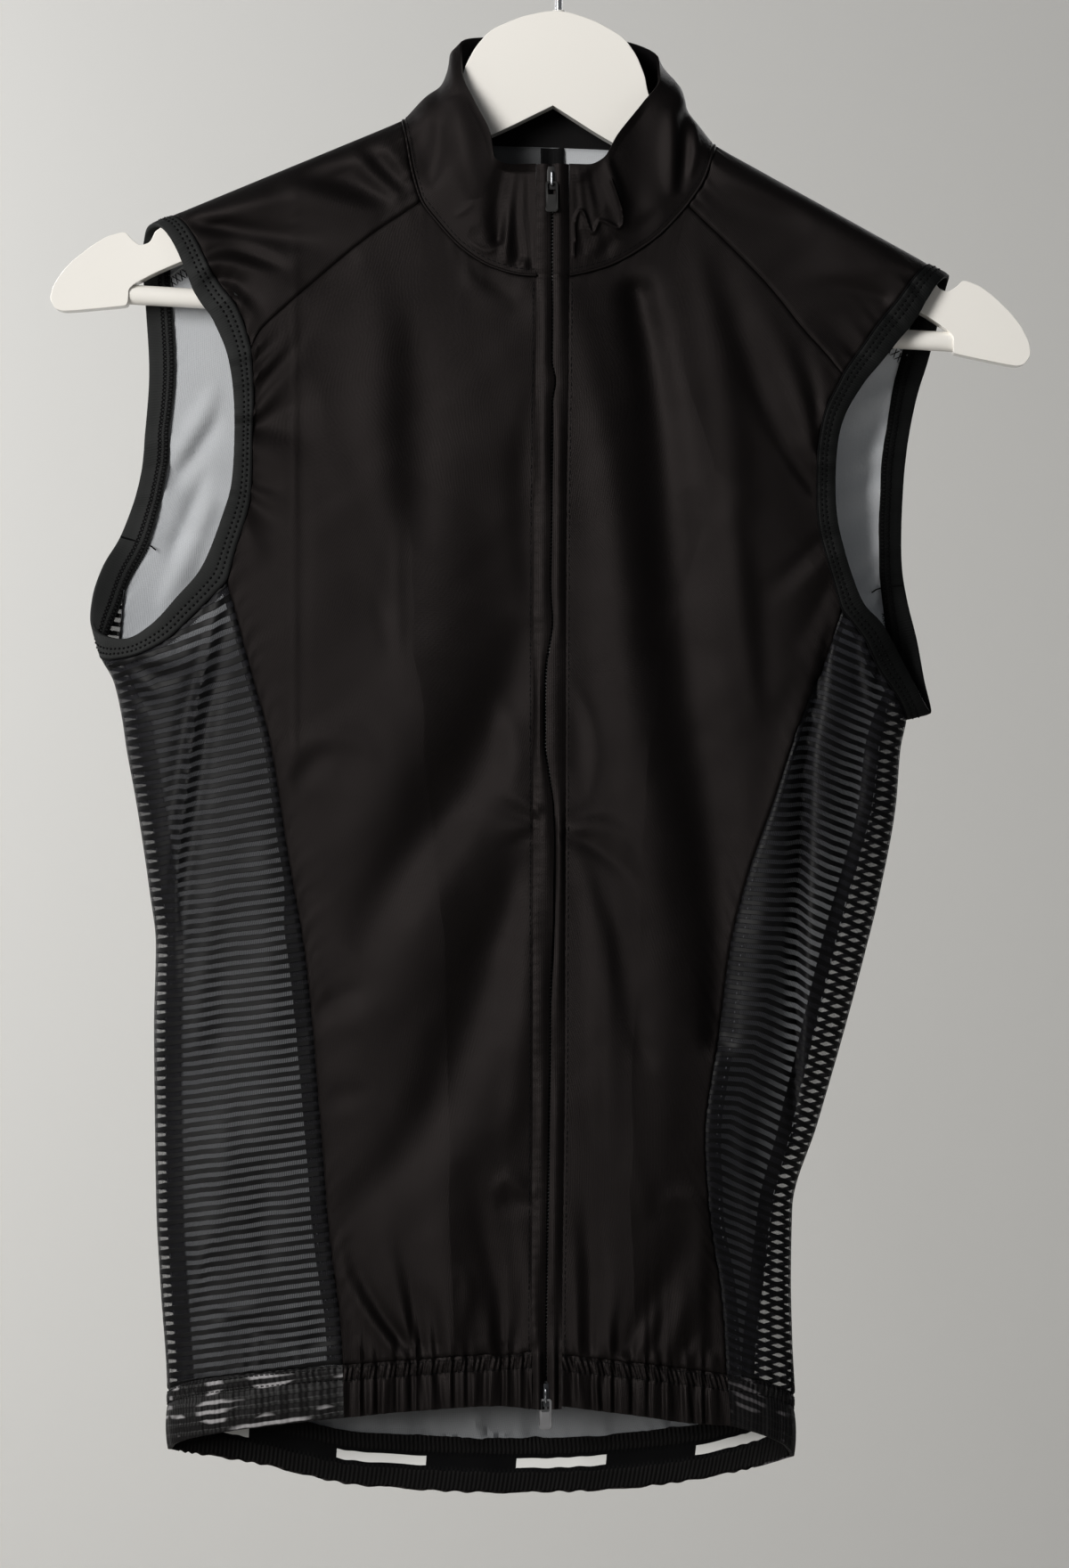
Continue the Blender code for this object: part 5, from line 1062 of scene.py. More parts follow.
def binding(side):
    """The folded band round the armhole: closed cross-sections between the body edge and the rim."""
    arm = armhole_stations(side, 2)
    loop = ARMHOLE[side]
    stretches = [arm[name] for name in ("front", "side", "back", "yoke")]
    body = np.vstack([part["kind"][0](part["at"])[:-1] for part in stretches])
    normal = np.vstack([outward(part["kind"], part["at"])[:-1] for part in stretches])
    rows = np.concatenate([part["rows"][:-1] for part in stretches]) % len(loop["x"])
    rim_table = np.stack([loop["rim_x"], loop["rim_down"], loop["draw"]], -1)
    rim_seen = spline(np.vstack([rim_table] * 3), rows + len(rim_table))
    middle = at_height(DEPTH, rim_seen[:, 1], "middle")
    rim_y = middle + (body[:, 1] - middle) * rim_seen[:, 2]
    rim = to_true(np.stack([rim_seen[:, 0], rim_y, rim_seen[:, 1]], -1))
    over = shoulder_at(loop["rim_x"], loop["rim_down"], loop["face"])
    on_yoke = np.arange(len(rows)) >= len(rows) - 2 * YOKE_ROWS
    rim[on_yoke] = shoulder_point(spline(np.vstack([over] * 3), rows[on_yoke] + len(over)))
    body, rim, normal = (rounded_loop(line) for line in (body, rim, normal))
    reach = rim - body
    wide = np.linalg.norm(reach, axis=1, keepdims=True)
    reach /= wide
    span = reach * wide
    thick = unit_cross(np.roll(body, -1, 0) - np.roll(body, 1, 0), reach)
    thick *= np.sign((thick * normal).sum())
    low = BAND_RAISE - BAND_WALL
    run = lengths(closed(body))
    pucker = 0.06 * np.cos(wander(run[:-1], 5.2, 1.0)) + 0.03 * np.cos(wander(run[:-1], 3.1, 2.0))
    lines, across = [], []
    for share, height, waved in BAND_PROFILE:
        lines.append(body + span * share + thick * (BAND_RAISE + height + waved * pucker)[:, None])
        across.append(share * BAND_WIDE)
    for angle in np.radians(np.linspace(60, -60, 5)):
        lines.append(rim + reach * (0.5 * np.cos(angle)) + thick * ((BAND_RAISE + low) / 2 + np.sin(angle)))
        across.append(BAND_WIDE + 1.2 * (60 - np.degrees(angle)) / 60)
    for share, level in BAND_BACK:
        lines.append(body + span * share + thick * (low + level))
        across.append(12 + BAND_WIDE * (1 - share))
    uv = np.stack(np.broadcast_arrays(run[:, None], np.array(across + [25.0])[None]), -1)
    made = loop_skin(f"binding_{side}_cloth", np.stack(lines, 1), uv, BINDING[side])
    worn(made, "binding", "gilet", f"binding_{side}")
    sewn = []
    for share, height in ((0.25, 0.1), (0.5, 0.12)):
        path = body + span * share + thick * (BAND_RAISE + height)
        sewn.append(stitch_row(closed(path), closed(thick), 2.3, 1.35, 0.46, lift=-0.08))
    sewn.append(ring_rod(body + span * -0.02 + thick * 0.05, thick, 0.42))
    under_arm = slice(2 * ARM_ROWS - 4, 2 * (ARM_ROWS + SIDE_COLUMNS) + 12)
    inside = (body - reach * 2.0 - thick * (WALL + 0.2))[under_arm]
    at = seam_points(divided(BACK_YOKE[side], YOKE_COLUMNS), -1, RING) + np.array([0.0, 3.4])
    over = outward(RING, at)
    crossed = [(inside, -thick[under_arm], 2.1, 3.6, 0.19, 64),
               (ring_point(at) - over * (WALL + 0.25), -over, 2.5, 5.4, 0.2, 66)]
    for share, level, turn in ((-0.1, 0.65, 58), (0.22, 0.45, 50)):
        on_band = closed(body) + closed(span) * share
        on_band += closed(thick) * (low - level)
        crossed.append((on_band, closed(-thick), 1.7, 3.0, 0.3, turn))
    for *row, turn in crossed:
        sewn.extend(stitch_row(*row, turn=angle) for angle in (turn, -turn))
    sewn.extend(binding_join(side, body, rim, span, thick, low))
    worn(joined(f"binding_{side}_stitches", sewn, THREAD), "binding")


def ring_rod(line, normals, radius, sides=6):
    """A closed round cord along a closed line as (points, faces)."""
    side = unit_cross(normals, np.roll(line, -1, 0) - np.roll(line, 1, 0))
    angle = (np.arange(sides) * 2 * np.pi / sides)[None, :, None]
    ring = line[:, None] + radius * (side[:, None] * np.cos(angle) + normals[:, None] * np.sin(angle))
    corners = corners_of(len(line), sides, True, True)
    return ring.reshape(-1, 3), (corners[..., 0] % len(line)) * sides + corners[..., 1] % sides


def binding_join(side, body, rim, across, thick, low):
    """Where the ends of the binding overlap, behind: the thread that crosses it, and a loose end of it."""
    behind = rim[:, 1] > np.median(rim[:, 1])
    k = np.flatnonzero(behind)[np.argmin(np.abs(-rim[behind, 2] - JOIN_DOWN[side]))]
    parts = []
    for level in (low - 0.15, BAND_RAISE + 0.15):
        line = body[k] + across[k] * np.linspace(-0.25, 1.04, 12)[:, None] + thick[k] * level
        parts.append(rod(line, thick[k], 0.4, 0.3, 6))
    t = np.linspace(0, 1, 14)[:, None]
    way = -across[k] / np.linalg.norm(across[k])
    start = body[k] + way * 2.0 + thick[k] * (low - 0.2)
    sag = np.array([0, 0, -1.0]) * (t * (1 - 0.4 * np.sin(5 * t)))
    loose = start + way * 4.2 * t + np.array([0.0, -1.2, 0.0]) * t + sag
    parts.append(rod(loose, (0.0, -1.0, 0.2), 0.3, 0.3, 6))
    return parts


def closed(line):
    return np.vstack([line, line[:1]])


def rounded_loop(line, times=3):
    """A closed line with the small corners between its stretches smoothed out."""
    for _ in range(times):
        line = 0.25 * np.roll(line, 1, 0) + 0.5 * line + 0.25 * np.roll(line, -1, 0)
    return line


# --- collar --------------------------------------------------------------------------------------------------------
def neck_seam():
    """True points of the whole neck seam from the zip's left round the back to its right."""
    left, right = (ring_point(seam_points(divided(FRONT_NECK[side], 3 * NECK_COLUMNS), 1, RING)) for side in SIDES)
    over_left, over_right = (shoulder_point(yoke_neck(side)) for side in SIDES)
    back = ring_point(seam_points(divided(BACK_NECK, NECK_COLUMNS), -1, RING))
    return np.vstack([left, over_left[1:], back[1:], over_right[::-1][1:], right[::-1][1:]])


def evened(line, times):
    """An open line with its corners smoothed out and its ends kept."""
    line = line.copy()
    for _ in range(times):
        line[1:-1] = 0.25 * line[:-2] + 0.5 * line[1:-1] + 0.25 * line[2:]
    return line


def collar():
    seam = neck_seam()
    length = lengths(seam)
    share = length / length[-1]
    top = to_true(np.stack([smooth(COLLAR_TOP["share"], COLLAR_TOP[name], share) for name in ("x", "y", "down")], -1))
    rows = np.linspace(0, 1, COLLAR_ROWS + 1)[:, None, None]
    points = top[None] + (seam - top)[None] * rows
    rows = rows[..., 0]
    normal = unit_cross(np.gradient(points, axis=1), np.gradient(points, axis=0))
    from_zip = np.minimum(length, length[-1] - length)
    pitch = COLLAR_GATHERS["pitch"]
    fade = np.clip(1 - from_zip / COLLAR_GATHERS["reach"], 0, 1) * np.clip(from_zip / pitch, 0, 1)
    wave = COLLAR_GATHERS["height"] * fade * np.sin(2 * np.pi * from_zip / pitch)
    bulge = np.sin(np.pi * rows)
    height = wave[None] * bulge
    facing = np.clip(-3 * normal[..., 1] + 0.6, 0, 1) * np.clip(4 * bulge, 0, 1)
    height -= pushed_by(COLLAR_FOLDS, points[..., 0], -points[..., 2]) * facing
    height += COLLAR_BULGE * bulge * np.clip(from_zip / 30, 0, 1)
    for at, wide, row, tall, push in COLLAR_FLANKS:
        flank = np.exp(-(((share[None] - at) / wide) ** 2) - ((rows - row) / tall) ** 2)
        height += push * flank * np.clip(9 * (1 - rows), 0, 1)
    points = drawn_in(points, SEAM_GAP)
    outer = points + normal * height[..., None]
    run = lengths(points, 0)
    uv = np.stack([np.broadcast_to(length[None], height.shape), run], -1)
    made = shell("collar_cloth", outer, outer - normal * 1.2, uv, (CLOTH, DARK_LINING, CLOTH))
    worn(made, "outer_cloth", "gilet", "collar")
    line, away = evened(seam, 50), evened(normal[-1], 50)
    worn(joined("neck_seam_roll", [rod(line + away * 0.35, away, 0.62, 0.62, 10)], CLOTH), "outer_cloth")
    column = len(seam) // 8
    k = np.searchsorted(run[:, column], run[-1, column] - 2.2)
    row = stitch_row(outer[k], normal[k], 2.5, 2.0, 0.2, lift=0.02)
    worn(joined("collar_stitches", [row], THREAD), "outer_cloth")


# --- hems ----------------------------------------------------------------------------------------------------------
def band(top, edge, rows):
    share = np.linspace(0, 1, rows + 1)[:, None, None]
    return top[None] * (1 - share) + edge[None] * share


def hem_height(points, rows_of_stitches, ruche, waves, height):
    """A gathered band: ruched finely between its stitch rows, then in waves that grow towards its edge."""
    down = lengths(points, 0)
    along = lengths(points, 1)
    first, last = rows_of_stitches
    between = np.clip((down - first + 0.7) / 0.8, 0, 1) * np.clip((last + 0.7 - down) / 0.8, 0, 1)
    puffs = 2 * np.pi * (along + 0.25 * down) / 2.35 + 0.9 * np.sin(along / 4.7)
    total = between * (0.3 + ruche * np.cos(puffs))
    total -= SEAM_ROLL["depth"] * np.exp(-((down / SEAM_ROLL["width"]) ** 2))
    for row in rows_of_stitches:
        total -= 0.35 * np.exp(-(((down - row) / 0.5) ** 2))
    below = np.clip((down - last) / (down[-1:] - last), 0, 1)
    lean = along + 1.3 * below * np.sin(along / 9.0)
    swing = np.cos(wander(lean, waves, 1.7)) + 0.22 * np.cos(wander(lean, waves * 0.55, 0.4))
    total += height * swing * np.sqrt(below) * (1 - 0.4 * below)
    total += 0.9 * np.sin(np.pi * np.clip(below, 0, 1)) ** 0.7
    return total


def hem(name, grid, slot, node, materials, stitches, ruche=0.4, waves=7.4, height=0.68, uv=None):
    """A turned and coverstitched band, and its stitches."""
    grid = with_seam_lines(grid)
    points, normals = drawn_in(ring_point(grid), SEAM_GAP / 2), outward(RING, grid)
    outer = points + normals * hem_height(points, stitches, ruche, waves, height)[..., None]
    uv = flat_uv(points) if uv is None else with_seam_lines(uv)
    worn(shell(name, outer, outer - normals * HEM_WALL, uv, materials), slot, "gilet", node)
    down = lengths(points, 0)
    j = np.arange(down.shape[1])
    rows = []
    for row in stitches:
        at = np.array([np.interp(row, down[:, column], np.arange(len(down))) for column in j])
        k = np.clip(at.astype(int), 0, len(down) - 2)
        t = (at - k)[:, None]
        path = outer[k, j] * (1 - t) + outer[k + 1, j] * t
        rows.append(stitch_row(path, normals[k, j], 2.3, 1.9, 0.24, lift=0.05))
    worn(joined(f"{name}_stitches", rows, THREAD), slot)


def front_hem(side):
    """Its top follows the panel's foot, and its own foot starts on the line of the side seam."""
    seam_down, zip_down = FRONT_HEM_TOP[side]
    start_x = float(at_height(FRONT_SEAM[side], seam_down))
    end_x = float(at_height(STITCH_LINE[side], zip_down))
    share = np.linspace(0, 1, HEM_COLUMNS + 1)
    edge = np.array(FRONT_HEM_EDGE[side])
    foot_start = float(at_height(FRONT_SEAM[side], edge[0, 1]))
    foot_x = foot_start + (end_x - foot_start) * share
    order = np.argsort(edge[:, 0])
    edge_down = smooth(edge[order, 0], edge[order, 1], foot_x)
    corners = ring_at(np.array([start_x, end_x]), np.array([seam_down, zip_down]), np.ones(2))
    top = corners[0] + (corners[1] - corners[0]) * share[:, None]
    grid = band(top, ring_at(foot_x, edge_down, np.ones(len(foot_x))), HEM_ROWS)
    hem(f"hem_front_{side}_cloth", grid, "outer_cloth", f"hem_front_{side}", (CLOTH,) * 3, (1.2, 6.4))


def side_hem(side):
    top = side_hem_line(side, FRONT_HEM_TOP[side][0], SIDE_HEM_TOP[side], BACK_HEM_TOP, HEM_COLUMNS)
    foot = side_hem_line(side, FRONT_HEM_EDGE[side][0][1], SIDE_HEM_EDGE[side], BACK_HEM_EDGE, HEM_COLUMNS)
    grid = band(top, foot, HEM_ROWS)
    hem(f"hem_side_{side}_cloth", grid, "striped_mesh", f"hem_side_{side}", (MESH_HEM[side],) * 3, (1.2, 6.0),
        uv=stripe_uv(side, grid), ruche=0.2, waves=9.5, height=0.4)


def back_hem_grid(columns, rows, lower, left, right):
    """The back hem between two turns, its edge raised by `lower`."""
    turns = np.linspace(left, right, columns + 1)
    top = np.stack([turns, hem_line(BACK_HEM_TOP, turns)], -1)
    uneven = 0.35 * np.sin(60 * turns + 2 * np.sin(17 * turns))
    edge = np.stack([turns, hem_line(BACK_HEM_EDGE, turns) - lower + uneven], -1)
    return band(top, edge, rows)


def back_hem():
    left, right = (seam_foot(side, BACK_HEM_TOP)[0] for side in SIDES)
    grid = back_hem_grid(3 * HEM_COLUMNS, HEM_ROWS, 0.0, left, right - 2 * np.pi)
    hem("hem_back_cloth", grid, "outer_cloth", "hem_back", (CLOTH,) * 3, (1.2, 7.0))


def gripper_tape():
    """The elastic tape inside the back hem, ribbed at both borders, with plain pale dashes printed between them."""
    grid = back_hem_grid(4 * HEM_COLUMNS, 18, 1.0, -0.03, 0.03 - np.pi)
    points, normals = ring_point(grid), outward(RING, grid)
    down, along = lengths(points, 0), lengths(points, 1)
    share = down / down[-1:]
    rib = np.where((share < 0.32) | (share > 0.62), 0.22 * np.cos(2 * np.pi * (along + 0.5 * down) / 1.9), -0.3)
    inner = points - normals * (WALL + GAP + 1.3 + rib)[..., None]
    outer = points - normals * (WALL + GAP)
    made = shell("gripper_tape_cloth", outer, inner, np.stack([along, share * 24], -1), (GRIPPER,) * 3)
    worn(made, "gripper", "gilet", "gripper_tape")


# --- zip -----------------------------------------------------------------------------------------------------------
def zip_front(down, x):
    """Y of the centre front, which carries on up the collar."""
    at_neck = float(FRONT_NECK["left"][0][1])
    on_body = surface_y(x, np.maximum(down, at_neck), 1)
    collar_top = COLLAR_TOP["down"][0]
    share = np.clip((at_neck - down) / (at_neck - collar_top), 0, 1)
    return on_body + (COLLAR_TOP["y"][0] - on_body) * share


def strip_points(down, left_x, right_x, columns):
    share = np.linspace(0, 1, columns)[None, :]
    x = left_x[:, None] * (1 - share) + right_x[:, None] * share
    downs = np.broadcast_to(down[:, None], x.shape)
    return to_true(np.stack([x, zip_front(downs, x), downs], -1)), share


BACKWARDS = np.array([0.0, 1.0, 0.0])


def placket(side):
    """The folded strip beside the zip: it bulges between its stitching and its fold, and wavers."""
    down = np.linspace(COLLAR_TOP["down"][0] + GAP, FRONT_HEM_EDGE["left"][-1][1], 460)
    stitch = at_height(STITCH_LINE[side], down)
    sign = -1 if side == "left" else 1
    drift = 0.35 * np.sin(down / 17) + 0.25 * np.sin(down / 7.3 + sign)
    fold = at_height(ZIP_LINE, down) + at_height(ZIP_SWERVE, down) + sign * (ZIP_SLOT / 2 + 0.25 * drift)
    points, share = strip_points(down, stitch - sign * SEAM_GAP / 2, fold, 17)
    uneven = 1 + 0.35 * np.sin(down / 23 + 2 * sign) + 0.25 * np.sin(down / 9.1)
    rise = PLACKET_BULGE * np.sin(np.pi * np.clip(0.86 * share, 0, 1)) ** 1.2 * uneven[:, None]
    rise += 0.16 * np.cos(wander(down, 5.5, 1 + sign))[:, None] * (1 - share) + 0.3 * drift[:, None] * share
    rise -= 0.12 * np.exp(-((share * 7 / 0.6) ** 2))
    neck_down = FRONT_NECK[side][0][1]
    rise -= 0.5 * np.exp(-(((down[:, None] - neck_down) / 0.8) ** 2))
    outer = points - BACKWARDS * rise[..., None]
    made = shell(f"placket_{side}_cloth", outer, outer + BACKWARDS * 1.2, flat_uv(points), (CLOTH, DARK_LINING, CLOTH))
    worn(made, "outer_cloth", "gilet", f"placket_{side}")
    row_x = stitch + sign * 1.2
    path = to_true(np.stack([row_x, zip_front(down, row_x), down], -1))[down > neck_down + 2]
    row = stitch_row(path, np.tile(-BACKWARDS, (len(path), 1)), 2.7, 2.2, 0.2, lift=0.02)
    worn(joined(f"placket_{side}_stitches", [row], THREAD), "outer_cloth")


def zip_tape():
    first, last = SLIDER["top_down"] + SLIDER["length"] + GAP, SLIDER["bottom_down"] - GAP
    down = np.linspace(first, last, 300)
    centre = at_height(ZIP_LINE, down)
    points, _ = strip_points(down, centre - ZIP_TAPE_HALF, centre + ZIP_TAPE_HALF, 7)
    outer = points + BACKWARDS * (WALL + GAP + 0.2)
    made = shell("zip_tape_cloth", outer, outer + BACKWARDS * 0.9, flat_uv(points), (TAPE,) * 3)
    worn(made, "zip_tape", "gilet", "zip_tape")
    coil_down = np.arange(first + 1, last - 1, ZIP_PITCH)
    coil_x = at_height(ZIP_LINE, coil_down)
    path = to_true(np.stack([coil_x, zip_front(coil_down, coil_x) + 0.9, coil_down], -1))
    front = np.tile(-BACKWARDS, (len(path), 1))
    teeth = [stitch_row(path, front, ZIP_PITCH, 2.6, 0.42, turn=turn, sideways=sideways)
             for turn, sideways in ((78, -0.75), (102, 0.75))]
    worn(joined("zip_coil", teeth, COIL), "zip_tape")


def slider_place(which):
    """A slider's place in front of the zip, and how far the zip leans back or forth along it."""
    down = SLIDER[f"{which}_down"]
    x = float(at_height(ZIP_LINE, down))
    ys = [float(zip_front(np.float64(d), x)) for d in (down, down + SLIDER["length"])]
    return *to_true([x, min(ys), down]), max(ys) - min(ys)


# --- label ---------------------------------------------------------------------------------------------------------
def neck_label():
    """A small plain label inside the back, just under the neck seam."""
    x = np.linspace(LABEL["left"], LABEL["right"], 22)
    down = np.linspace(LABEL["top"] - 1.2, LABEL["foot"], 26)
    grid = np.array([[ring_at(a, b, -1) for a in x] for b in down])
    across, length = lengths(ring_point(grid), 1), lengths(ring_point(grid), 0)
    share = across / across[:, -1:]
    curl = 0.25 * np.cos(2.4 * np.pi * share) + 0.5 * (length / length[-1:]) ** 2
    made = panel("neck_label_cloth", RING, grid, (LABEL_CLOTH,) * 3, wall=0.7, under=WALL + GAP + curl, sides="")
    worn(made, "label", "gilet", "neck_label")


# --- hard pieces ---------------------------------------------------------------------------------------------------
def rounded_boxes(name, boxes, surface, rounding=0.3):
    """Boxes with rounded edges, each between a low and a high corner."""
    mesh = bmesh.new()
    for corners in boxes:
        low, high = (Vector(corner) * 0.001 for corner in corners)
        for vert in bmesh.ops.create_cube(mesh, size=1)["verts"]:
            vert.co = (low + high) / 2 + Vector([c * s for c, s in zip(vert.co, high - low)])
    bmesh.ops.recalc_face_normals(mesh, faces=mesh.faces)
    bmesh.ops.bevel(mesh, geom=list(mesh.edges), offset=rounding * 0.001, segments=3, affect="EDGES",
                    profile=0.5, clamp_overlap=True)
    project(mesh)
    data = bpy.data.meshes.new(name)
    mesh.to_mesh(data)
    mesh.free()
    dress(data, 50, surface)
    return linked(name, data)


def slider(which, surface, bright, slot):
    """A moulded zip slider: a rounded plate in front with the arch for its pull, a web and wings behind."""
    x, y, z, lean = slider_place(which)
    half = ARCH["half_width"]
    plate_half, wing_half = half + SLIDER["plate_half"], SLIDER["wing_half"]
    front, back = y - GAP - ARCH["plate"], y - GAP
    strip = front - ARCH["clear"] + 0.35
    top, foot = z - ARCH["top"], z - ARCH["foot"]
    wings, low, high = y + lean + WALL + GAP, z - SLIDER["length"], z - 0.3
    boxes = [((x - plate_half, front, low), (x + plate_half, back, high)),
             ((x - 0.4, front + 0.3, low + 0.4), (x + 0.4, wings + 0.3, z - 0.8)),
             ((x - wing_half, wings, low), (x + wing_half, wings + SLIDER["wing"], high))]
    worn(rounded_boxes(f"slider_{which}_body", boxes, surface), slot, "gilet", f"slider_{which}")
    route = [(x, front + 0.3, top - 0.45), (x, strip + 0.55, top - 0.4), (x, strip, top - 1.1),
             (x, strip, (top + foot) / 2), (x, strip, foot + 1.1), (x, strip + 0.55, foot + 0.5),
             (x, front + 0.3, foot + 0.45)]
    fine = spline(route, np.linspace(0, len(route) - 1, 40))
    bar = rod(fine, unit_cross((1.0, 0, 0), np.gradient(fine, axis=0)), half * 0.42, 0.4, 12)
    worn(joined(f"slider_{which}_arch", [bar], bright), slot)


def pull_axis(which):
    x, y, z, _ = slider_place(which)
    axis_y = y - GAP - ARCH["plate"] - GAP - PULL["thick"] / 2
    axis_z = z - ARCH["foot"] + ARCH["leg"] + GAP + PULL["bar"] / 2
    return x, axis_y, axis_z


def oval(half, top, foot, corner, count=10):
    """A rectangle with round corners, as (x, z) points clockwise from its top left."""
    points = []
    for cx, cz, start in ((half - corner, top - corner, 90), (half - corner, foot + corner, 0),
                          (-half + corner, foot + corner, -90), (-half + corner, top - corner, 180)):
        for angle in np.radians(np.linspace(start, start - 90, count)):
            points.append((cx + corner * np.cos(angle), cz + corner * np.sin(angle)))
    return np.array(points)


def pull(which, surface, slot):
    """A flat tab with a window, by whose top bar it hangs in the slider's arch: closed rings round the window."""
    x, y, z = pull_axis(which)
    bar, thick, edge = PULL["bar"] / 2, PULL["thick"] / 2, PULL["edge"]
    outer = oval(PULL["half_width"] - 0.05, z + bar, z - PULL["length"], 1.3)
    hole = oval(PULL["window"], z - bar, z - bar - PULL["window_height"], 0.5)
    toward = (hole - outer) / np.linalg.norm(hole - outer, axis=1, keepdims=True)
    rings = []
    for line, level in ((outer + toward * edge, -thick), (outer + toward * edge * 0.3, -thick + edge * 0.3),
                        (outer, -thick + edge), (outer, thick - edge), (outer + toward * edge, thick),
                        (hole - toward * edge * 0.7, thick), (hole, thick - edge * 0.7), (hole, -thick + edge * 0.7),
                        (hole - toward * edge * 0.7, -thick), (outer * 0.42 + hole * 0.58, -thick),
                        (outer * 0.5 + hole * 0.5, -thick + 0.12), (outer * 0.75 + hole * 0.25, -thick + 0.12),
                        (outer * 0.85 + hole * 0.15, -thick)):
        rings.append(np.stack([x + line[:, 0], np.full(len(line), y + level), line[:, 1]], -1))
    grid = np.stack(rings, 1)
    uv = np.zeros((grid.shape[0] + 1, grid.shape[1] + 1, 2))
    worn(loop_skin(f"pull_{which}_tab", grid, uv, surface, sharp=45), slot, f"{which}_pull", f"pull_{which}")


# --- hanger --------------------------------------------------------------------------------------------------------
def hanger_half():
    """Half of the hanger's outline, untilted, from the top of its middle to its V: (x, below the plate's top)."""
    rise = math.tan(ARM_SLOPE)
    arm_top = ARM_APEX + ARM_UNDER / math.cos(ARM_SLOPE)

    def on_top(x):
        return x, arm_top + rise * x

    def under(x):
        return x, 54.1 + 0.475 * (x - 24.0)

    return [
        (4.0, 0.0), (16.0, 3.2), (28.5, 9.5), (34.5, 17.0), (38.5, 25.5), (40.0, 32.0), (42.5, 37.5),
        on_top(47.5), on_top(100.0), on_top(166.5),
        (168.8, 108.9), (173.2, 110.6), (177.0, 108.0), (179.8, 104.8),
        (187.5, 107.3), (193.5, 111.5), (200.5, 117.5), (205.5, 123.0), (209.5, 130.0), (210.5, 135.5),
        (208.0, 139.6), (204.0, 140.6),
        (BAR["reach"] + 3.0, 137.0), (BAR["reach"], 136.2), under(BAR["reach"]),
        under(110.0), (24.0, 54.1), (0.0, 40.5), (0.0, 40.5),
    ]


def tilted(x, below):
    return (
        x * math.cos(HANGER_TILT) - below * math.sin(HANGER_TILT),
        -PLATE_TOP_DOWN - below * math.cos(HANGER_TILT) - x * math.sin(HANGER_TILT),
    )


def corner_cut(points, times):
    """A closed outline with its corners rounded by cutting them again and again."""
    for _ in range(times):
        following = np.roll(points, -1, 0)
        points = np.stack([0.82 * points + 0.18 * following, 0.18 * points + 0.82 * following], 1).reshape(-1, 2)
    return points


def hanger():
    """The moulded plate and arms, with rounded edges."""
    half = hanger_half()
    outline = corner_cut(np.array(half + [(-x, below) for x, below in reversed(half[:-1])]), 3)
    outline = outline[np.linalg.norm(outline - np.roll(outline, 1, 0), axis=1) > 1e-6]
    mesh = bmesh.new()
    places = [tilted(x, below) for x, below in outline]
    face = mesh.faces.new([mesh.verts.new(Vector((x, HANGER_THICK / 2, z)) * 0.001) for x, z in places])
    made = bmesh.ops.extrude_face_region(mesh, geom=[face])
    moved = [item for item in made["geom"] if isinstance(item, bmesh.types.BMVert)]
    bmesh.ops.translate(mesh, verts=moved, vec=(0, -HANGER_THICK * 0.001, 0))
    bmesh.ops.recalc_face_normals(mesh, faces=mesh.faces)
    weight = mesh.edges.layers.float.new("bevel_weight_edge")
    for edge in mesh.edges:
        edge[weight] = float(abs(edge.verts[0].co.y - edge.verts[1].co.y) < 1e-6)
    data = bpy.data.meshes.new("hanger_plate")
    mesh.to_mesh(data)
    mesh.free()
    dress(data, 40, PLASTIC)
    plate = linked("hanger_plate", data)
    bevel = plate.modifiers.new("rounded edges", "BEVEL")
    bevel.width, bevel.segments, bevel.limit_method = 0.0028, 5, "WEIGHT"
    plate.modifiers.new("even shading", "WEIGHTED_NORMAL").keep_sharp = True
    worn(plate, "hanger", "gilet", "hanger")


def hanger_bar():
    reach = BAR["reach"] + 2
    ends = np.array([tilted(x, BAR["below"]) for x in np.linspace(-reach, reach, 60)])
    route = np.stack([ends[:, 0], np.zeros(len(ends)), ends[:, 1]], -1)
    bar = joined("hanger_rail", [rod(route, -BACKWARDS, BAR["radius"], BAR["radius"], 32)], PLASTIC)
    worn(bar, "hanger", "gilet", "hanger_bar")


def hanger_hook():
    """A wire hook: a stem out of the plate, then round over the rail, which it meets at the origin."""
    radius, wire = HOOK["radius"], HOOK["wire"]
    centre_z = wire - radius
    start = math.radians(HOOK["start"])
    join = (radius * math.cos(start), centre_z + radius * math.sin(start))
    first = (0.0, -PLATE_TOP_DOWN + HOOK["straight"])
    corner = (0.0, join[1] - HOOK["lead"])
    route = [(0, 0, -PLATE_TOP_DOWN - 3.0), (0, 0, first[1])]
    for t in np.linspace(0.1, 0.9, 12):
        a = [(1 - t) * p + t * q for p, q in zip(first, corner)]
        b = [(1 - t) * p + t * q for p, q in zip(corner, join)]
        x, z = ((1 - t) * p + t * q for p, q in zip(a, b))
        route.append((x, 0, z))
    for angle in start + np.radians(HOOK["sweep"]) * np.linspace(0, 1, 70):
        route.append((radius * math.cos(angle), 0, centre_z + radius * math.sin(angle)))
    route = np.array(route)
    thick = np.full(len(route), wire)
    thick[-3:] *= (0.98, 0.85, 0.45)
    hook = joined("hook_wire", [rod(route, -BACKWARDS, thick, thick, 20)], STEEL)
    worn(hook, "hook", "gilet", "hanger_hook")
    stem = np.array([(0, 0, -PLATE_TOP_DOWN + height) for height in (-1.0, 0.4, 1.0)])
    boss = joined("hook_boss", [rod(stem, -BACKWARDS, (3.2, 3.2, 2.5), (3.2, 3.2, 2.5), 24)], PLASTIC)
    worn(boss, "hanger")


# --- materials -----------------------------------------------------------------------------------------------------
WAVE_TURN = 6.2832 / 20  # the wave texture's scale for one repeat in a metre


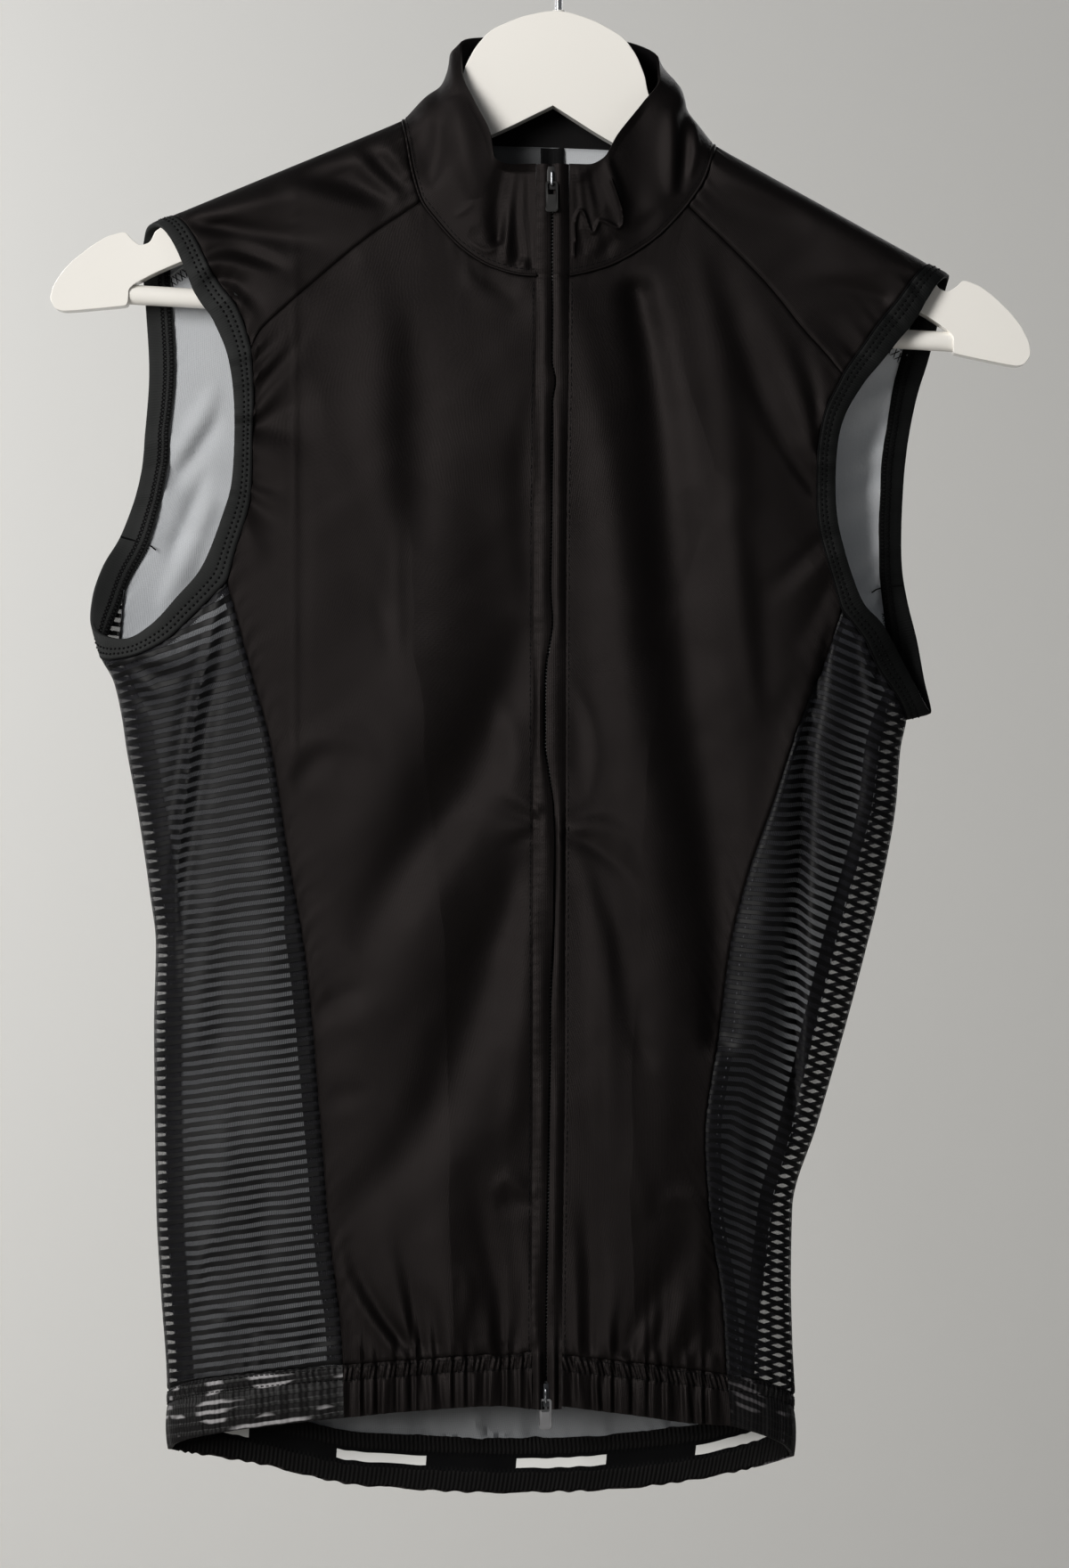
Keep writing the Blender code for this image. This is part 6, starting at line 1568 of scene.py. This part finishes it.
def srgb(*values):
    """Linear colour from 0-255 values."""
    part = np.array(values, float) / 255
    line = np.where(part <= 0.04045, part / 12.92, ((part + 0.055) / 1.055) ** 2.4)
    return (*line.tolist(), 1.0)


class Surface:
    """A material with its shader, and short ways to add nodes."""

    def __init__(self, name, colour, roughness, **sockets):
        self.material = bpy.data.materials.new(name)
        self.material.use_nodes = True
        self.nodes = self.material.node_tree.nodes
        self.shader = self.nodes["Principled BSDF"]
        for socket, value in {"Base Color": colour, "Roughness": roughness, **sockets}.items():
            self.set(socket.replace("_", " "), value)

    def feed(self, socket, value):
        """A number or a colour goes into the socket itself, and anything else is linked to it."""
        if isinstance(value, (int, float, tuple)):
            socket.default_value = value
        else:
            self.material.node_tree.links.new(value, socket)

    def set(self, socket, value):
        self.feed(self.shader.inputs[socket], value)

    def add(self, kind, output=0, **settings):
        """An output of a new node. A setting that starts with in_ is fed to that socket."""
        node = self.nodes.new(kind)
        for name, value in settings.items():
            if name.startswith("in_"):
                self.feed(node.inputs[name[3:].replace("_", " ")], value)
            else:
                setattr(node, name, value)
        return node.outputs[output]

    def uv(self, scale=(1, 1, 1)):
        return self.add("ShaderNodeMapping", in_Vector=self.add("ShaderNodeUVMap", uv_map="UVMap"), in_Scale=scale)

    def where(self):
        return self.add("ShaderNodeTexCoord", "Object")

    def split(self, vector):
        node = self.nodes.new("ShaderNodeSeparateXYZ")
        self.feed(node.inputs[0], vector)
        return node.outputs

    def noise(self, vector, scale, detail, rough=0.5):
        return self.add("ShaderNodeTexNoise", "Fac", in_Vector=vector, in_Scale=scale, in_Detail=detail,
                        in_Roughness=rough)

    def wave(self, vector, scale, direction="X", distortion=0.0):
        return self.add("ShaderNodeTexWave", "Fac", in_Vector=vector, in_Scale=scale, in_Distortion=distortion,
                        bands_direction=direction)

    def math(self, kind, a, b=0.0, clamp=False):
        node = self.nodes.new("ShaderNodeMath")
        node.operation, node.use_clamp = kind, clamp
        for socket, value in zip(node.inputs, (a, b)):
            self.feed(socket, value)
        return node.outputs[0]

    def times(self, a, b):
        return self.math("MULTIPLY", a, b)

    def plus(self, a, b, clamp=False):
        return self.math("ADD", a, b, clamp)

    def minus(self, a, b):
        return self.math("SUBTRACT", a, b)

    def between(self, value, low, high):
        return self.times(self.math("GREATER_THAN", value, low), self.math("LESS_THAN", value, high))

    def ramp(self, value, *stops):
        node = self.nodes.new("ShaderNodeValToRGB")
        for stop, (position, colour) in zip(node.color_ramp.elements, stops):
            stop.position, stop.color = position, colour
        self.feed(node.inputs[0], value)
        return node.outputs[0]

    def rescale(self, value, **ends):
        return self.add("ShaderNodeMapRange", in_Value=value, **ends)

    def mix(self, share, a, b):
        return self.add("ShaderNodeMix", "Result", data_type="RGBA", in_Factor=share, in_A=a, in_B=b)

    def paint_shade(self, colour, low, high, left, soft=0.003):
        """Painted shade: the colour times `left` between two corners, with soft borders."""
        place = self.split(self.where())
        inside = 1.0
        for k in (0, 2):
            for start, end in ((low[k], low[k] + soft), (high[k], high[k] - soft)):
                inside = self.times(inside, self.rescale(place[k], in_From_Min=start, in_From_Max=end))
        return self.mix(self.times(inside, 1.0 - left), colour, (0, 0, 0, 1))

    def gloss(self, vary, roughness, less, more):
        """A roughness that varies about its own value."""
        self.set("Roughness", self.rescale(vary, in_To_Min=roughness - less, in_To_Max=roughness + more))

    def bump(self, height, distance):
        self.set("Normal", self.add("ShaderNodeBump", in_Strength=1.0, in_Distance=distance, in_Height=height))

    def net(self, waver, by, start, end):
        """1 in the middle of the net's stripes, which waver a little, and 0 in the knit between them."""
        uv = self.uv()
        moved = self.times(self.minus(self.noise(uv, waver, 2), 0.5), by)
        phase = self.math("FRACT", self.math("DIVIDE", self.plus(self.split(uv)[1], moved), STRIPE["pitch"] * 0.001))
        return self.rescale(self.math("ABSOLUTE", self.minus(phase, 0.5)), in_From_Min=start, in_From_Max=end)


def knit(name, dark, light, roughness, pitch=0.62, grain=0.05, tint=(1, 1, 1, 1), specular=0.2, painted_shade_boxes=()):
    """A fine warp knit: wales and courses in the bump, with small changes of tone and gloss. Its last argument has
    boxes (low, high, tone) in metres in which the colour is darkened: painted shade, where little light reaches the
    inside of the cloth."""
    made = Surface(name, dark, roughness, Specular_Tint=tint, Specular_IOR_Level=specular)
    wales = made.wave(made.uv(), WAVE_TURN / (pitch * 0.001))
    courses = made.wave(made.uv(), WAVE_TURN / (pitch * 0.0008), "Y")
    fine, broad = made.noise(made.where(), 900, 2), made.noise(made.where(), 14, 4, 0.6)
    tone = made.plus(made.times(broad, 0.75), made.times(fine, 0.25))
    colour = made.ramp(tone, (0.3, dark), (0.72, light))
    for low, high, left in painted_shade_boxes:
        colour = made.paint_shade(colour, low, high, left)
    made.set("Base Color", colour)
    made.gloss(made.noise(made.where(), 55, 3), roughness, 0.05, 0.06)
    made.bump(made.plus(made.times(wales, courses), made.times(fine, 0.8)), grain * 0.001)
    return made.material


def mesh_cloth():
    """Bands of close knit and of sheer net by turns. The net lets what lies behind it show."""
    dark, net = srgb(*TONES["side_dark"]), srgb(*TONES["side_net"])
    made = Surface("striped mesh", dark, 0.5, Specular_IOR_Level=0.16)
    net_here = made.net(60, 0.0009, STRIPE["net"] / 2 + 0.03, STRIPE["net"] / 2 - 0.03)
    threads = made.rescale(made.wave(made.uv(), WAVE_TURN / 0.00095), in_To_Min=0.6, in_To_Max=1.0)
    # Painted shade: the net lets less through under the arm, where the inside behind it lies in shade. It is also
    # folded close at the side edge.
    across, down, _ = made.split(made.uv())
    lower = made.rescale(down, in_From_Min=0.3, in_From_Max=0.48, in_To_Min=0.62, in_To_Max=1.0)
    flat = made.rescale(made.math("ABSOLUTE", across), in_From_Min=0.008, in_From_Max=0.014)
    holes = made.times(made.times(made.times(net_here, threads), lower), flat)
    made.set("Base Color", made.mix(net_here, dark, net))
    made.set("Alpha", made.minus(1.0, made.times(holes, STRIPE["clear"])))
    made.bump(made.minus(1.0, net_here), 0.00018)
    return made.material


def hem_mesh(name, painted_glint_colour):
    """The striped cloth turned up and stitched: its layers hide each other. Only streaks of the net shine, as painted
    glints of the given colour, and the band between takes a quarter of that colour, so a darker colour paints the hem
    in shade.
    """
    made = Surface(name, srgb(*TONES["side_dark"]), 0.5, Specular_IOR_Level=0.16)
    band = made.net(90, 0.0012, 0.26, 0.14)
    blocks = made.wave(made.uv(), WAVE_TURN / 0.0036, "X", 2.0)
    streaks = made.noise(made.uv((1.0, 3.2, 1.0)), 34, 1, 0.3)
    painted_shine = made.times(band, made.ramp(streaks, (0.56, (0, 0, 0, 1)), (0.63, (1, 1, 1, 1))))
    dull = srgb(*(round(0.24 * part) for part in painted_glint_colour))
    plain = made.mix(made.times(band, blocks), srgb(14, 13, 14), dull)
    made.set("Base Color", made.mix(painted_shine, plain, srgb(*painted_glint_colour)))
    made.bump(made.plus(band, blocks), 0.00015)
    return made.material


def binding_cloth(tone_name):
    dark, light = srgb(*TONES[tone_name]), srgb(*TONES[tone_name + "_light"])
    made = Surface(tone_name, dark, 0.6, Specular_IOR_Level=0.08)
    rib = made.wave(made.uv(), WAVE_TURN / 0.0011)
    made.set("Base Color", made.ramp(made.noise(made.where(), 30, 3), (0.3, dark), (0.75, light)))
    made.bump(made.plus(rib, made.noise(made.where(), 1100, 2)), 0.00005)
    return made.material


def thread_of(name, colour, roughness, specular=0.08):
    made = Surface(name, colour, roughness, Specular_IOR_Level=specular)
    twist = made.wave(made.where(), 900, "DIAGONAL")
    made.gloss(twist, roughness, 0.08, 0.1)
    made.bump(twist, 0.00003)
    return made.material


def gripper_tape_cloth():
    """Ribbed borders, and plain dashes in the middle of the tape, 39 mm long and as far apart."""
    made = Surface("gripper tape", srgb(6, 6, 6), 0.6, Specular_IOR_Level=0.07)
    along, across, _ = made.split(made.uv())
    across = made.times(across, 1000.0)
    ribs = made.wave(made.uv(), WAVE_TURN / 0.0019)
    border = made.plus(made.math("LESS_THAN", across, 7.2), made.math("GREATER_THAN", across, 15.6), True)
    step = made.math("FRACT", made.math("DIVIDE", made.plus(along, 0.021), 0.078))
    print_here = made.times(made.between(across, 9.2, 13.6), made.between(step, 0.25, 0.75))
    # Painted sheen: the ribbed borders are lighter than the middle, and lightest on the crests of their ribs.
    painted_shine = made.times(border, made.rescale(ribs, in_To_Min=0.5, in_To_Max=1.0))
    tape = made.ramp(painted_shine, (0.0, srgb(3, 3, 4)), (1.0, srgb(13, 12, 12)))
    made.set("Base Color", made.mix(print_here, tape, srgb(226, 226, 224)))
    made.bump(made.plus(made.times(ribs, border), made.times(print_here, 1.5)), 0.0002)
    return made.material


def moulded(name, colour, roughness, bump=0.00002, metallic=0.0, coat=0.0):
    made = Surface(name, colour, roughness, Metallic=metallic, Coat_Weight=coat, Coat_Roughness=0.12)
    where = made.where()
    darker = tuple(0.93 * part for part in colour[:3]) + (1.0,)
    made.set("Base Color", made.ramp(made.noise(where, 6.0, 3), (0.3, darker), (0.7, colour)))
    made.gloss(made.noise(where, 90, 4), roughness, 0.04, 0.07)
    made.bump(made.noise(where, 1500, 2), bump)
    return made.material


def studio_wall(name, colour):
    made = Surface(name, colour, 0.9, Specular_IOR_Level=0.1)
    made.bump(made.noise(made.where(), 4, 2), 0.0005)
    return made.material


# --- everything ----------------------------------------------------------------------------------------------------
CLOTH = knit("outer cloth", srgb(*TONES["cloth"]), srgb(*TONES["cloth_light"]), 0.5,
             tint=srgb(255, 240, 238), specular=0.165, grain=0.08)
# Painted shade: the inside cloth is darkened where it lies in shade, over all of it left of the right armhole, inside
# the neck left of the label, and above the back hem.
LINING = knit("inside cloth", srgb(*TONES["lining"]), srgb(*TONES["lining_light"]), 0.8, pitch=0.8, grain=0.08,
              painted_shade_boxes=(((-0.3, 0, -0.8), (0.1, 0, -0.03), 0.6), ((-0.05, 0, -0.1225), (-0.001, 0, -0.105), 0.2),
                      ((-0.2, 0, -0.7), (0.12, 0, -0.638), 0.45)))
DARK_LINING = knit("dark inside cloth", srgb(9, 8, 9), srgb(13, 12, 13), 0.65, specular=0.1)
MESH_CLOTH = mesh_cloth()
# Painted light and shade: the left hem's streaks are bright painted glints, and the right hem is the same cloth with a
# darker colour, painted shade.
MESH_HEM = {"left": hem_mesh("striped hem", (150, 148, 150)), "right": hem_mesh("striped hem in shade", (70, 68, 70))}
# Painted light: pale dots stand for the light that shows through the net beside the seam allowances.
PAINTED_LIGHT_DOTS = thread_of("pale thread", srgb(132, 134, 140), 0.5, 0.3)
# Painted shade: the right binding is the same cloth as the left, given darker tones because it lies in shade.
BINDING = {"left": binding_cloth("binding"), "right": binding_cloth("binding_painted_shade")}
GRIPPER = gripper_tape_cloth()
LABEL_CLOTH = knit("label cloth", srgb(6, 6, 7), srgb(9, 9, 10), 0.6, pitch=0.5, grain=0.06, specular=0.08)
TAPE = knit("zip tape", srgb(16, 16, 17), srgb(24, 24, 26), 0.6, pitch=0.9, grain=0.08)
THREAD = thread_of("stitching", srgb(7, 7, 8), 0.7)
COIL = moulded("zip coil", srgb(30, 30, 32), 0.35)
SILVER = moulded("slider metal", srgb(170, 172, 176), 0.26, metallic=1.0)
DARK_METAL = moulded("lower slider metal", srgb(96, 98, 102), 0.32, metallic=1.0)
BLACK_METAL = moulded("upper slider metal", srgb(14, 14, 15), 0.5)
PULL_DARK = moulded("upper pull", srgb(9, 9, 8), 0.66)
PULL_LIGHT = moulded("lower pull", srgb(112, 112, 114), 0.36, coat=0.1)
PLASTIC = moulded("hanger plastic", srgb(252, 249, 243), 0.22, bump=0.000015, coat=0.25)
STEEL = moulded("hook steel", srgb(190, 190, 192), 0.22, metallic=1.0)

arms = {side: armhole_stations(side) for side in SIDES}
back_panel(arms)
for side, arm in arms.items():
    front_panel(side, arm)
    yoke(side, arm)
    side_panel(side, arm)
    binding(side)
    front_hem(side)
    side_hem(side)
    side_strips(side)
    placket(side)
collar()
back_hem()
gripper_tape()
zip_tape()
neck_label()
slider("top", BLACK_METAL, SILVER, "slider_top")
slider("bottom", DARK_METAL, SILVER, "slider_bottom")
pull("top", PULL_DARK, "pull_top")
pull("bottom", PULL_LIGHT, "pull_bottom")
hanger()
hanger_bar()
hanger_hook()

# --- how each sheet of cloth is cut ----------------------------------------------------------------------------------
# Width, length and area in metres of the flat piece as it shows, how it is held, and what it hangs from or is sewn to.
CUTS = """
back 0.36 0.566 0.157 hung hanger_plate yoke_left yoke_right
front_left 0.136 0.498 0.0505 hung yoke_left
front_right 0.124 0.5 0.0425 hung yoke_right
yoke_left 0.114 0.108 0.0077 draped hanger_plate
yoke_right 0.112 0.108 0.0081 draped hanger_plate
side_left 0.11 0.352 0.0262 hung back front_left
side_right 0.112 0.342 0.0225 hung back front_right
collar 0.3 0.056 0.0126 hung yoke_left yoke_right
binding_left 0.0115 0.46 0.005 folded yoke_left side_left
binding_right 0.0115 0.45 0.0049 folded yoke_right side_right
hem_front_left 0.103 0.028 0.0027 gathered front_left
hem_front_right 0.09 0.03 0.0024 gathered front_right
hem_side_left 0.1 0.03 0.0025 gathered side_left
hem_side_right 0.066 0.03 0.0017 gathered side_right
hem_back 0.3 0.027 0.0075 gathered back
gripper_tape 0.275 0.0245 0.0064 stretched hem_back
placket_left 0.01 0.532 0.0041 folded front_left collar
placket_right 0.01 0.532 0.0044 folded front_right collar
zip_tape 0.01 0.507 0.0046 hung placket_left placket_right
neck_label 0.0101 0.0158 0.000158 hung back
seam_front_left 0.01 0.34 0.0018 folded side_left
seam_front_right 0.01 0.335 0.0018 folded side_right
seam_back_left 0.01 0.352 0.0018 folded back
seam_back_right 0.01 0.335 0.0018 folded back
"""
for cut in CUTS.strip().splitlines():
    cloth, wide, long, area, held, *others = cut.split()


# --- the photograph's camera, the room and its light ----------------------------------------------------------------
def plain_sheet(name, corners, surface):
    """A flat rectangle of the room."""
    data = bpy.data.meshes.new(name)
    data.from_pydata(corners, [], [(0, 1, 2, 3)])
    data.materials.append(surface)
    linked(name, data)


WALL_Y, FLOOR_Z, ROOM = 4.6, -1.75, 9
plain_sheet("floor", [(-ROOM, -ROOM, FLOOR_Z), (ROOM, -ROOM, FLOOR_Z), (ROOM, ROOM, FLOOR_Z), (-ROOM, ROOM, FLOOR_Z)],
            studio_wall("floor paint", srgb(172, 170, 166)))
plain_sheet("wall", [(-ROOM, WALL_Y, FLOOR_Z), (ROOM, WALL_Y, FLOOR_Z), (ROOM, WALL_Y, 5.5), (-ROOM, WALL_Y, 5.5)],
            studio_wall("wall paint", srgb(226, 225, 222)))


def area_light(name, place, target, size, power, colour=(1, 1, 1)):
    data = bpy.data.lights.new(name, "AREA")
    data.shape = "RECTANGLE"
    data.size, data.size_y = size
    data.energy, data.color = power, colour
    made = linked(name, data)
    made.location = place
    made.rotation_euler = (Vector(target) - Vector(place)).to_track_quat("-Z", "Y").to_euler()
    made.visible_camera = False


area_light("window", (-2.02, -2.43, 0.55), (0, 0, -0.35), (1.3, 1.9), 110, (1.0, 0.985, 0.96))
area_light("fill", (2.6, -2.2, 0.2), (0, 0, -0.4), (1.4, 1.8), 3.5, (0.95, 0.975, 1.0))
area_light("wall wash", (-3.4, 2.4, 0.8), (0.0, 4.6, -0.4), (2.5, 2.5), 128)
area_light("back fill", (1.8, 3.2, 0.8), (0, 0, -0.4), (2.0, 2.0), 42)

world = bpy.data.worlds.new("studio")
world.use_nodes = True
sky = world.node_tree.nodes["Background"]
sky.inputs[0].default_value, sky.inputs[1].default_value = (0.93, 0.96, 1.0, 1), 0.07
bpy.context.scene.world = world

lens = bpy.data.cameras.new("photograph")
lens.sensor_width = lens.sensor_height = SENSOR
lens.lens = SENSOR * VIEW_DISTANCE / VIEW_HEIGHT
camera = linked("photograph", lens)
camera.location = (VIEW_X * 0.001, -VIEW_DISTANCE * 0.001, -VIEW_DOWN * 0.001)
camera.rotation_euler = (math.pi / 2, 0, 0)
bpy.context.scene.camera = camera
bpy.context.scene.view_settings.view_transform = "Standard"

bpy.context.view_layer.update()
